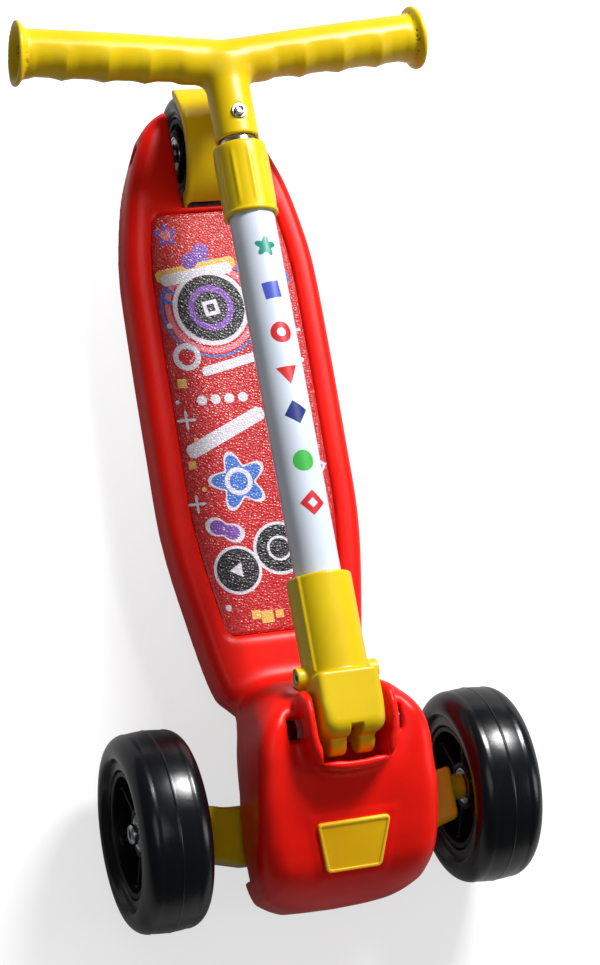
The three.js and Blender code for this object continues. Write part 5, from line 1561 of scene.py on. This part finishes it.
@dataclass
class FoldBlock:
    """The yellow block: slotted feet, body round the fold bolt, bosses and a sleeve for the tube."""

    half_width: float = 19.3
    half_height: float = 22.0
    rear: float = 28.0
    front: float = -9.5
    front_round: float = 9.0
    side_round: tuple = (5.0, 9.5)
    foot_reach: float = 18.4
    foot_inner: float = 3.6
    foot_outer: float = 13.6
    foot_half: float = 9.4
    foot_root: float = 8.0
    slot_end: float = -4.0
    sleeve: float = 19.4
    sleeve_end: float = 87.4
    seam_from: float = 30.0
    seam_at: tuple = (-16.0, 10.6)
    seam: float = 1.1
    bore: float = 14.3
    bore_from: float = 18.1
    mouth_depth: float = 6.0
    mouth_room: float = 0.9
    fold_bore: float = 4.3
    bolt_at: float = 29.5
    boss: float = 6.0
    boss_end: float = 25.4
    seat: float = 4.6
    seat_depth: float = 3.3
    clamp_head: BoltHead = BoltHead(4.2, 2.4, 2.4, 2.4, 43.2)
    clamp_nut: BoltHead = BoltHead(4.2, 2.4, 1.9, 3.2, 0.6)
    box: tuple = ((-27.2, -22, -23.5), (27.4, 89, 23.6))
    steps: tuple = (0.85, 1.5)

    def solid(self, x: Array, y: Array, z: Array) -> Array:
        """Field of the block."""
        side, off = np.abs(x), np.hypot(x, z)
        r = self.front_round
        profile = rounded_corner(self.front + r - y, np.abs(z) - self.half_height + r, r)
        rounding = between(*self.side_round, smoothstep(-10, 8, -y))
        body = common(common(profile, y - self.rear, rounding=2.0), side - self.half_width, rounding)
        sleeve = rounded_rod(off, y, self.sleeve, 0, self.sleeve_end, edge=1.3)
        seam = off_line(x, z, self.seam_at) - self.seam
        sleeve = joined(sleeve, np.maximum(seam, slab(y, self.seam_from, self.sleeve_end - 1.2)), fillet=0.9)
        heel = self.foot_half - self.foot_reach
        foot = np.where(y < heel, np.hypot(y - heel, z), np.abs(z)) - self.foot_half
        foot = np.maximum(foot, y - self.front - self.foot_root)
        foot = common(foot, slab(side, self.foot_inner, self.foot_outer), rounding=1.8)
        off_bolt = off_line(y, z, (self.bolt_at, 0.0))
        boss = rounded_rod(off_bolt, side, self.boss, 0, self.boss_end, edge=1.0)
        whole = joined(joined(joined(body, sleeve, fillet=2.2), foot, fillet=2.0), boss, fillet=2.0)
        seat = np.maximum(off_bolt - self.seat, self.boss_end - self.seat_depth - side)
        slot = np.maximum(side - self.foot_inner, y - self.slot_end)
        whole = without(whole, np.minimum(seat, slot), rounding=0.8)
        whole = np.maximum(whole, self.fold_bore - np.hypot(y, z))
        tube = np.maximum(off - self.bore, self.bore_from - y)
        mouth = np.maximum(off - self.bore - self.mouth_room, self.sleeve_end - self.mouth_depth - y)
        return without(whole, np.minimum(tube, mouth), rounding=0.9)

    def build(self, place: StemPlacement) -> None:
        """Adds the block, and the bolt that clamps the tube with its head and its nut in the bosses."""
        mesh = surface_in(self.solid, self.box, self.steps)
        place.add("fold_block_body", mesh, "stem", Slot.YELLOW, ["fold_block"])
        seat = self.boss_end - self.seat_depth
        head = self.clamp_head.mesh(Axis.X, -1, (-seat, self.bolt_at, 0))
        nut = self.clamp_nut.mesh(Axis.X, 1, (seat, self.bolt_at, 0))
        place.add("stem_bolt_head", head, "stem", Slot.STEEL, ["stem_bolt"], sharp=35)
        place.add("stem_nut_cap", nut, "stem", Slot.STEEL, ["stem_nut"], sharp=35)


def pipe(inner: float, outer: float, low: float, high: float) -> MeshData:
    """A tube along Y with slightly rounded ends."""
    corners = [(inner, low), (outer, low), (outer, high), (inner, high), (inner, low)]
    return revolved(softened(corners, radius=0.5, steps=4), Axis.Y)


@dataclass
class Stem:
    """White tube with painted shapes, and the inner tube that slides in it."""

    radius: float = 14.0
    wall: float = 1.5
    start: float = 18.4
    end: float = 358.0
    inner: float = 11.0
    inner_wall: float = 1.3
    inner_start: float = 160.0
    inner_end: float = 406.0
    paint_height: float = 0.06
    marks: tuple = motifs(Paint, (
        ("petals", 0.5, 291, 6.8, "TEAL", 10), ("diamond", -0.5, 263, 7.4, "BLUE", 6),
        ("disc", 0.5, 236, 6.6, "RED", 0, 0.42), ("triangle", 0, 210.6, 7.6, "RED", 4),
        ("square", 0.5, 185.7, 7.4, "NAVY", 9), ("disc", -0.5, 155.7, 6.4, "GREEN"),
        ("diamond", 0.5, 129.7, 7.8, "RED", 40, 0.4)))

    def lift(self, u: Array, v: Array, height: float) -> Array:
        """Flat places wrapped round the tube: the first coordinate becomes an arc from the top line."""
        angle = u / self.radius
        radius = self.radius + height
        return np.stack([radius * np.sin(angle), v, radius * np.cos(angle)], -1)

    def build(self, place: StemPlacement) -> None:
        """Adds both tubes and the painted shapes."""
        tube = pipe(self.radius - self.wall, self.radius, self.start, self.end)
        place.add("stem_tube_skin", tube, "stem", Slot.TUBE, ["stem_tube"], sharp=40)
        inner = pipe(self.inner - self.inner_wall, self.inner, self.inner_start, self.inner_end)
        place.add("inner_tube_skin", inner, "handlebar", Slot.STEEL, ["inner_tube"], sharp=40)
        for paint in Paint:
            films = [mark.film(self.lift, self.paint_height, 9) for mark in self.marks if mark.ink is paint]
            place.add(f"stem_{paint.name.lower()}_shapes", together(films), "stem", Slot.TUBE, sharp=50,
                      look=place.looks.inks[paint])


@dataclass
class Collar:
    """The twist collar: a sleeve with a lower lip and shallow ridges."""

    start: float = 315.0
    end: float = 361.0
    lip: float = 16.8
    lip_height: float = 3.0
    bottom: float = 16.2
    top: float = 16.4
    bore: float = 14.3
    mouth: float = 11.3
    cap: float = 2.6
    ridges: int = 10
    ridge_height: float = 0.55
    steps: int = 160

    def build(self, place: StemPlacement) -> None:
        """Adds the collar: each ring's radius is the profile's, plus a ridge that comes and goes round it."""
        start, end, lip = self.start, self.end, self.lip
        lip_end = start + self.lip_height
        wall_from, wall_length = lip_end + 2, end - 4 - lip_end
        outer = [(self.bore, start + 0.4), (self.bore + 0.5, start), (lip - 0.8, start), (lip, start + 0.8),
                 (lip, lip_end - 0.9), (lip - 0.6, lip_end - 0.2), (self.bottom, lip_end + 0.4),
                 (self.bottom, wall_from)]
        outer += [(between(self.bottom, self.top, share), wall_from + wall_length * share)
                  for share in (0.1, 0.3, 0.5, 0.7, 0.85, 0.93)]
        outer += [(self.top, end - 1.6), (self.top - 0.4, end - 0.5), (self.top - 1.2, end),
                  (self.mouth, end), (self.mouth, end - self.cap), (self.bore, end - self.cap)]
        profile = np.array(outer)
        radius, along = profile[:, 0, None], profile[:, 1, None]
        angle = np.arange(self.steps) / self.steps * TURN
        ridge = np.clip(np.cos(self.ridges * angle), 0, 1) ** 3 * self.ridge_height
        fade = smoothstep(lip_end + 1, lip_end + 4, along) * (1 - smoothstep(end - 9, end - 4, along))
        outside = (radius > self.bore + 0.8) & (along < end - 1)
        radius = radius + ridge * fade * outside
        along = np.broadcast_to(along, radius.shape)
        mesh = wrapped_rings(np.stack([radius * np.sin(angle), along, radius * np.cos(angle)], -1))
        place.add("collar_skin", mesh, "collar", Slot.YELLOW, ["stem_collar"], sharp=50)


@dataclass
class Handle:
    """The T handle: a socket and two rising grips with finger bumps below and flared hollow ends."""

    socket: float = 13.6
    socket_from: float = 366.0
    bar: float = 418.0
    rise: float = np.radians(5.3)
    reach: float = 131.5
    middle: float = 14.3
    grip: float = 15.4
    flange: float = 20.0
    flange_length: float = 8.0
    bump_first: float = 49.5
    bump_pitch: float = 26.0
    bump_depth: float = 1.8
    mouth: float = 18.0
    mouth_end: float = 11.0
    mouth_depth: float = 26.0
    bore: float = 11.3
    bore_end: float = 406.3
    bolt_at: float = 380.0
    bolt_bore: float = 2.8
    bolt: BoltHead = BoltHead(3.3, 2.6, 1.7, 2.5, 27)
    washer: tuple = (2.8, 4.8)
    washer_height: float = 1.0
    washer_room: float = 5.1
    seat: float = 12.8
    box: tuple = ((-136, 363.5, -22.5), (136.4, 453.5, 22.6))
    steps: tuple = (1.1, 1.8)

    def solid(self, x: Array, y: Array, z: Array) -> Array:
        """Field of the handle: grips about two rising lines, each with a radius that follows its length."""
        side = np.abs(x)
        c, s = np.cos(self.rise), np.sin(self.rise)
        along = side * c + (y - self.bar) * s
        off_y = (y - self.bar) * c - side * s
        off = np.hypot(off_y, z) + TINY
        base = between(self.middle, self.grip, smoothstep(0, 80, along))
        flange_from, mouth_from = self.reach - self.flange_length, self.reach - self.mouth_depth
        flare = smoothstep(flange_from, self.reach - self.flange_length / 4, along)
        place = (along - self.bump_first) / self.bump_pitch
        share = place - np.floor(place)
        dip = np.clip(3.4 * np.minimum(share, 1 - share), 0, 1) ** 0.8
        dip = dip * smoothstep(-1, -0.6, place) * (1 - smoothstep(2.6, 2.95, place))
        below = np.maximum(-off_y / off, 0) ** 0.7
        radius = base + (self.flange - self.grip) * flare**2 - self.bump_depth * dip * below
        arm = common(off - radius, along - self.reach, rounding=1.4)
        neck = rounded_rod(np.hypot(x, z), y, self.socket, self.socket_from, self.bar, edge=0.9)
        mouth = np.interp(
            along, [mouth_from, flange_from, self.reach], [self.mouth_end, self.mouth_end + 1.5, self.mouth])
        hollow = np.maximum(off - mouth, mouth_from - along) * 0.9
        body = without(joined(arm, neck, fillet=7.0), hollow, rounding=1.2)
        off_bolt = off_line(x, y, (0.0, self.bolt_at))
        seat = np.maximum(off_bolt - self.washer_room, self.seat - np.abs(z))
        bore = np.maximum(np.hypot(x, z) - self.bore, y - self.bore_end)
        return without(np.maximum(body, self.bolt_bore - off_bolt), np.minimum(bore, seat), rounding=0.6)

    def build(self, place: StemPlacement) -> None:
        """Adds the handle with its bolt and washer."""
        mesh = surface_in(self.solid, self.box, self.steps)
        place.add("handle_body", mesh, "handlebar", Slot.YELLOW, ["t_handle"])
        top = GAP + self.washer_height
        head = self.bolt.mesh(Axis.Z, 1, (0, self.bolt_at, self.seat + top + GAP))
        place.add("handle_bolt_head", head, "handlebar", Slot.STEEL, ["handle_bolt"], sharp=35)
        inner, outer = self.washer
        corners = [(inner, GAP), (outer, GAP), (outer, top), (inner, top), (inner, GAP)]
        washer = revolved(softened(corners, radius=0.3), Axis.Z, (0, self.bolt_at, self.seat), 64)
        place.add("handle_washer_ring", washer, "handlebar", Slot.STEEL, ["handle_washer"], sharp=35)


# Brake and axle


@dataclass
class Brake:
    """The fender over the rear wheel, which presses on it: an arched cover with skirts and two ears."""

    inner: float = 40.8
    outer: float = 43.8
    half_width: float = 18.6
    ear: float = 1.9
    ear_line: tuple = (6.4, 12.0, 14.0)
    skirt: float = 3.2
    front_angle: float = 157.0
    rear_angle: float = 42.0
    pivot: tuple = (388.5, 42.0)
    tube: float = 3.9
    bore: float = 2.3
    spring_half: float = 8.3
    box: tuple = ((-20.4, 383, 34), (20.8, 468, 84.5))
    steps: tuple = (0.9, 1.4)

    def solid(self, x: Array, y: Array, z: Array) -> Array:
        """Field of the fender, in polar places about the wheel's axle.

        The ear's line gives how far its upper end lies behind and above the pivot, and over which
        rise it gets there.
        """
        side = np.abs(x)
        off = off_line(y, z, REAR_AXLE)
        angle = np.degrees(np.arctan2(z - REAR_AXLE[1], y - REAR_AXLE[0]))
        angle = np.where(angle < -90, angle + 360, angle)
        ends = slab(angle, self.rear_angle, self.front_angle) * np.radians(1) * off
        cover = common(slab(off, self.inner, self.outer), ends, rounding=1.0)
        cover = common(cover, side - self.half_width, rounding=1.6)
        wall = np.abs(side - self.half_width + self.ear / 2) - self.ear / 2
        skirt = common(slab(off, self.inner - self.skirt, self.outer - 0.6), ends, rounding=1.2)
        skirt = common(skirt, wall, rounding=0.6)
        pivot_y, pivot_z = self.pivot
        back, up, rise = self.ear_line
        t = np.clip((z - pivot_z) / rise, 0, 1)
        ear = np.hypot(y - pivot_y - back * t, z - pivot_z - up * t) - self.tube + 0.2
        off_pivot = off_line(y, z, self.pivot)
        tube = np.maximum(off_pivot - self.tube, slab(side, self.spring_half, self.half_width))
        body = joined(joined(cover, skirt, fillet=1.5), common(ear, wall, rounding=0.5), fillet=2.0)
        return np.maximum(joined(body, tube, fillet=0.8), self.bore - off_pivot)

    def build(self, place: Placement) -> None:
        """Adds the fender."""
        mesh = surface_in(self.solid, self.box, self.steps)
        place.add("fender", mesh, "brake", Slot.YELLOW, ["brake_fender"])


@dataclass
class FrontAxle:
    """The yellow beam through the nose, with its kingpin hub and the bosses at the wheels.

    A row of sections gives the distance from the middle, then the beam's rear, front, low and high
    sides. The trap holds a bolt's nut.
    """

    sections: tuple = (
        (0, 5, -29, 38, 66), (26, 5, -29, 40, 66), (52, 5, -28, 42.5, 67), (66, 9, -24.5, 45, 70),
        (83.5, 13, -19.5, 46.5, 73))
    end: float = 83.5
    boss: float = 7.8
    boss_end: float = 93.5
    pin: tuple = (-12.0, 52.0)
    pin_bore: float = 7.3
    lean: float = np.radians(25)
    hub: float = 12.5
    hub_half: float = 17.0
    trap: tuple = (67.7, 73.5)
    trap_half: float = 6.9
    bolt_bore: float = 4.3
    bolt_from: float = 60.0
    bolt: BoltHead = BoltHead(6.2, 4.6, 3.0, 4.0, 46)
    corner: float = 4.0
    box: tuple = ((-95.5, -31.5, 31), (96, 16.5, 76))
    steps: tuple = (1.2, 2.0)

    def solid(self, x: Array, y: Array, z: Array) -> Array:
        """Field of the beam: a rounded box whose edges follow the distance from the middle."""
        side = np.abs(x)
        place, *edges = np.array(self.sections, float).T
        rear, front, low, high = (np.interp(side, place, row) for row in edges)
        r = self.corner
        spar = rounded_corner(slab(y, front + r, rear - r), slab(z, low + r, high - r), r)
        spar = common(spar, side - self.end, rounding=2.0)
        c, s = np.cos(self.lean), np.sin(self.lean)
        dy, dz = y - self.pin[0], z - self.pin[1]
        up, off = -dy * s + dz * c, np.hypot(x, dy * c + dz * s)
        off_axle = off_line(y, z, FRONT_AXLE)
        hub = rounded_rod(off, up, self.hub, -self.hub_half, self.hub_half, edge=1.0)
        boss = rounded_rod(off_axle, side, self.boss, 0, self.boss_end, edge=0.8)
        body = joined(joined(spar, hub, fillet=3.0), boss, fillet=3.0)
        trap = np.maximum(np.maximum(slab(side, *self.trap), np.abs(y) - self.trap_half),
                          z - FRONT_AXLE[1] - self.trap_half)
        bore = np.maximum(off_axle - self.bolt_bore, self.bolt_from - side)
        clear = np.maximum(off - self.hub - GAP, self.hub_half - np.abs(up))
        bores = np.minimum(bore, np.minimum(off - self.pin_bore, clear))
        return without(body, np.minimum(trap, bores), rounding=0.7)

    def build(self, place: Placement, face: float) -> None:
        """Adds the beam, and the socketed heads of the wheel bolts.

        Args:
            place: The placement.
            face: How far from the middle the front wheels' outer faces are.
        """
        mesh = surface_in(self.solid, self.box, self.steps)
        place.add("beam", mesh, "front_axle", Slot.YELLOW, ["axle_beam"])
        for side, name in SIDES:
            bolt = self.bolt.mesh(Axis.X, side, (side * (face + GAP), *FRONT_AXLE))
            node = f"{name}_wheel_axle_bolt"
            place.add(f"{name}_wheel_bolt_head", bolt, "front_axle", Slot.STEEL, [node], sharp=35)


# The stage


@dataclass
class Stage:
    """Floor, lamps and camera.

    To the camera the floor glows, so that it shows white where it is lit and keeps the shadows. It
    glows less near the nose, which paints a shadow under it, and little in mirrored views.
    """

    floor_size: float = 6.0
    floor_tones: tuple = (0.36, 0.34)
    mirrored_share: float = 0.12
    # Painted shadow under the nose: its middle, the reach over which it fades, and the glow at its darkest.
    painted_shadow_place: tuple = (0.0, -0.24, 0.0)
    painted_shadow_reach: tuple = (0.1, 0.45)
    painted_shadow_glow: float = 0.66
    sky: float = 0.09
    target: tuple = (0, -0.05, 0.08)
    camera_at: tuple = (-0.4581, -0.3216, 1.4530)
    view: tuple = (0.3199, 0.2048, -0.9251)
    up: tuple = (0.0959, 0.9643, 0.2466)
    lens: float = 89.87
    sensor: float = 36.0
    lamps: tuple = (
        ("key", (0.8, 1.1, 1.4), (0.55, 0.55), 58), ("side", (1.5, -0.5, 0.9), (0.5, 0.9), 5),
        ("top", (-0.5, -0.3, 1.9), (0.9, 0.9), 3.5))

    def floor(self) -> None:
        """The floor's square and its material."""
        half = self.floor_size / 2
        corners = [(-half, -half, 0), (half, -half, 0), (half, half, 0), (-half, half, 0)]
        data = bpy.data.meshes.new("floor")
        data.from_pydata(corners, [], [(0, 1, 2, 3)])
        graph = LookGraph("floor")
        paths = graph.node("ShaderNodeLightPath")
        mirrored = graph.math("MULTIPLY", paths.outputs["Is Glossy Ray"], self.mirrored_share)
        seen = graph.math("MAXIMUM", paths.outputs["Is Camera Ray"], mirrored)
        # Painted shadow: the glow drops near a point under the nose, so the floor shows darker there.
        reach = graph.node("ShaderNodeVectorMath", {"operation": "DISTANCE"})
        graph.feed(reach.inputs[0], graph.node("ShaderNodeTexCoord").outputs["Object"])
        graph.feed(reach.inputs[1], self.painted_shadow_place)
        glow_with_painted_shadow = graph.mapped(reach.outputs["Value"], *self.painted_shadow_reach, self.painted_shadow_glow, 1.0)
        tones = [(tone, tone, tone, 1.0) for tone in self.floor_tones]
        graph.dress(
            graph.surface, Base_Color=graph.mix(graph.noise(30.0), *tones), Roughness=0.9,
            Specular_IOR_Level=0.0, Emission_Color=(1, 1, 1, 1),
            Emission_Strength=graph.math("MULTIPLY", seen, glow_with_painted_shadow))
        data.materials.append(graph.look)
        floor = bpy.data.objects.new("floor", data)
        bpy.context.scene.collection.objects.link(floor)

    def lamp(self, name: str, at: Point, size: tuple[float, float], power: float) -> None:
        """An area lamp that faces the scooter's middle."""
        data = bpy.data.lights.new(name, "AREA")
        data.shape, data.size, data.size_y, data.energy = "RECTANGLE", *size, power
        lamp = bpy.data.objects.new(name, data)
        lamp.location = at
        lamp.rotation_euler = (Vector(at) - Vector(self.target)).to_track_quat("Z", "Y").to_euler()
        bpy.context.scene.collection.objects.link(lamp)

    def camera(self) -> None:
        """The photograph's camera."""
        data = bpy.data.cameras.new("camera")
        data.lens, data.sensor_width, data.sensor_fit = self.lens, self.sensor, "AUTO"
        camera = bpy.data.objects.new("camera", data)
        back = -Vector(self.view).normalized()
        up = Vector(self.up)
        right = up.cross(back).normalized()
        turn = Matrix((right, back.cross(right), back)).transposed()
        camera.matrix_world = Matrix.Translation(self.camera_at) @ turn.to_4x4()
        bpy.context.scene.collection.objects.link(camera)
        bpy.context.scene.camera = camera

    def build(self) -> None:
        """Adds the whole stage."""
        scene = bpy.context.scene
        scene.view_settings.view_transform = "Standard"
        world = bpy.data.worlds.new("world")
        world.use_nodes = True
        graph = Graph(world.node_tree)
        seen = graph.node("ShaderNodeLightPath").outputs["Is Camera Ray"]
        graph.dress(
            world.node_tree.nodes["Background"], Color=(1, 1, 1, 1),
            Strength=graph.mapped(seen, 0.0, 1.0, self.sky, 1.0))
        scene.world = world
        self.floor()
        for lamp in self.lamps:
            self.lamp(*lamp)
        self.camera()


def dress_inner_nodes(frame: dict, looks: Finishes) -> None:
    """Gives each CAD node that stays in view its finish."""
    for entry in frame["record"]["subparts"]:
        node = frame["nodes"][entry["node"]]
        node.data.materials.clear()
        node.data.materials.append(looks.by_slot[Slot(entry["material_slot"])])


def add_wheels(place: Placement, front: Wheel, rear: Wheel) -> None:
    """Adds both front wheels and the rear wheel."""
    parts = ("tyre", "hub", "outer_bearing", "inner_bearing")
    for side, name in SIDES:
        front.build(place, f"{name}_front", f"{name}_front_wheel", (side * FRONT_WHEEL_X, *FRONT_AXLE), side,
                    [f"{name}_wheel_{part}" for part in parts])
    rear.build(place, "rear", "rear_wheel", (0, *REAR_AXLE), 1,
               ["rear_tyre", "rear_hub", "rear_left_bearing", "rear_right_bearing"])


def main() -> None:
    """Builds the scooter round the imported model."""
    logging.basicConfig(level=logging.INFO, format="%(name)s: %(message)s")
    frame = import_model()
    place = Placement.from_frame(Finishes())
    dress_inner_nodes(frame, place.looks)
    Stage().build()
    moulding = Moulding()
    for thing in (moulding, Mat(moulding.deck), moulding.badge):
        thing.build(place)
    front = Wheel(
        radius=60, half_width=21.4, crown=1.7, shoulder=10.5, rim_offset=18.2, rim_radius=45,
        seat_radius=38, seat_half=16.8, inner_hub=9.6, outer_hub=10.4, ribs=6)
    rear = Wheel(
        radius=38, half_width=16, crown=1.2, shoulder=8, rim_offset=14.2, rim_radius=27,
        seat_radius=23, seat_half=13.4, inner_hub=15, outer_hub=15, ribs=5)
    add_wheels(place, front, rear)
    on_stem = StemPlacement(place.looks, place.shift)
    for thing in (FoldBlock(), Stem(), Collar(), Handle()):
        thing.build(on_stem)
    Brake().build(place)
    FrontAxle().build(place, FRONT_WHEEL_X + front.outer_hub)


if __name__ == "__main__":
    main()
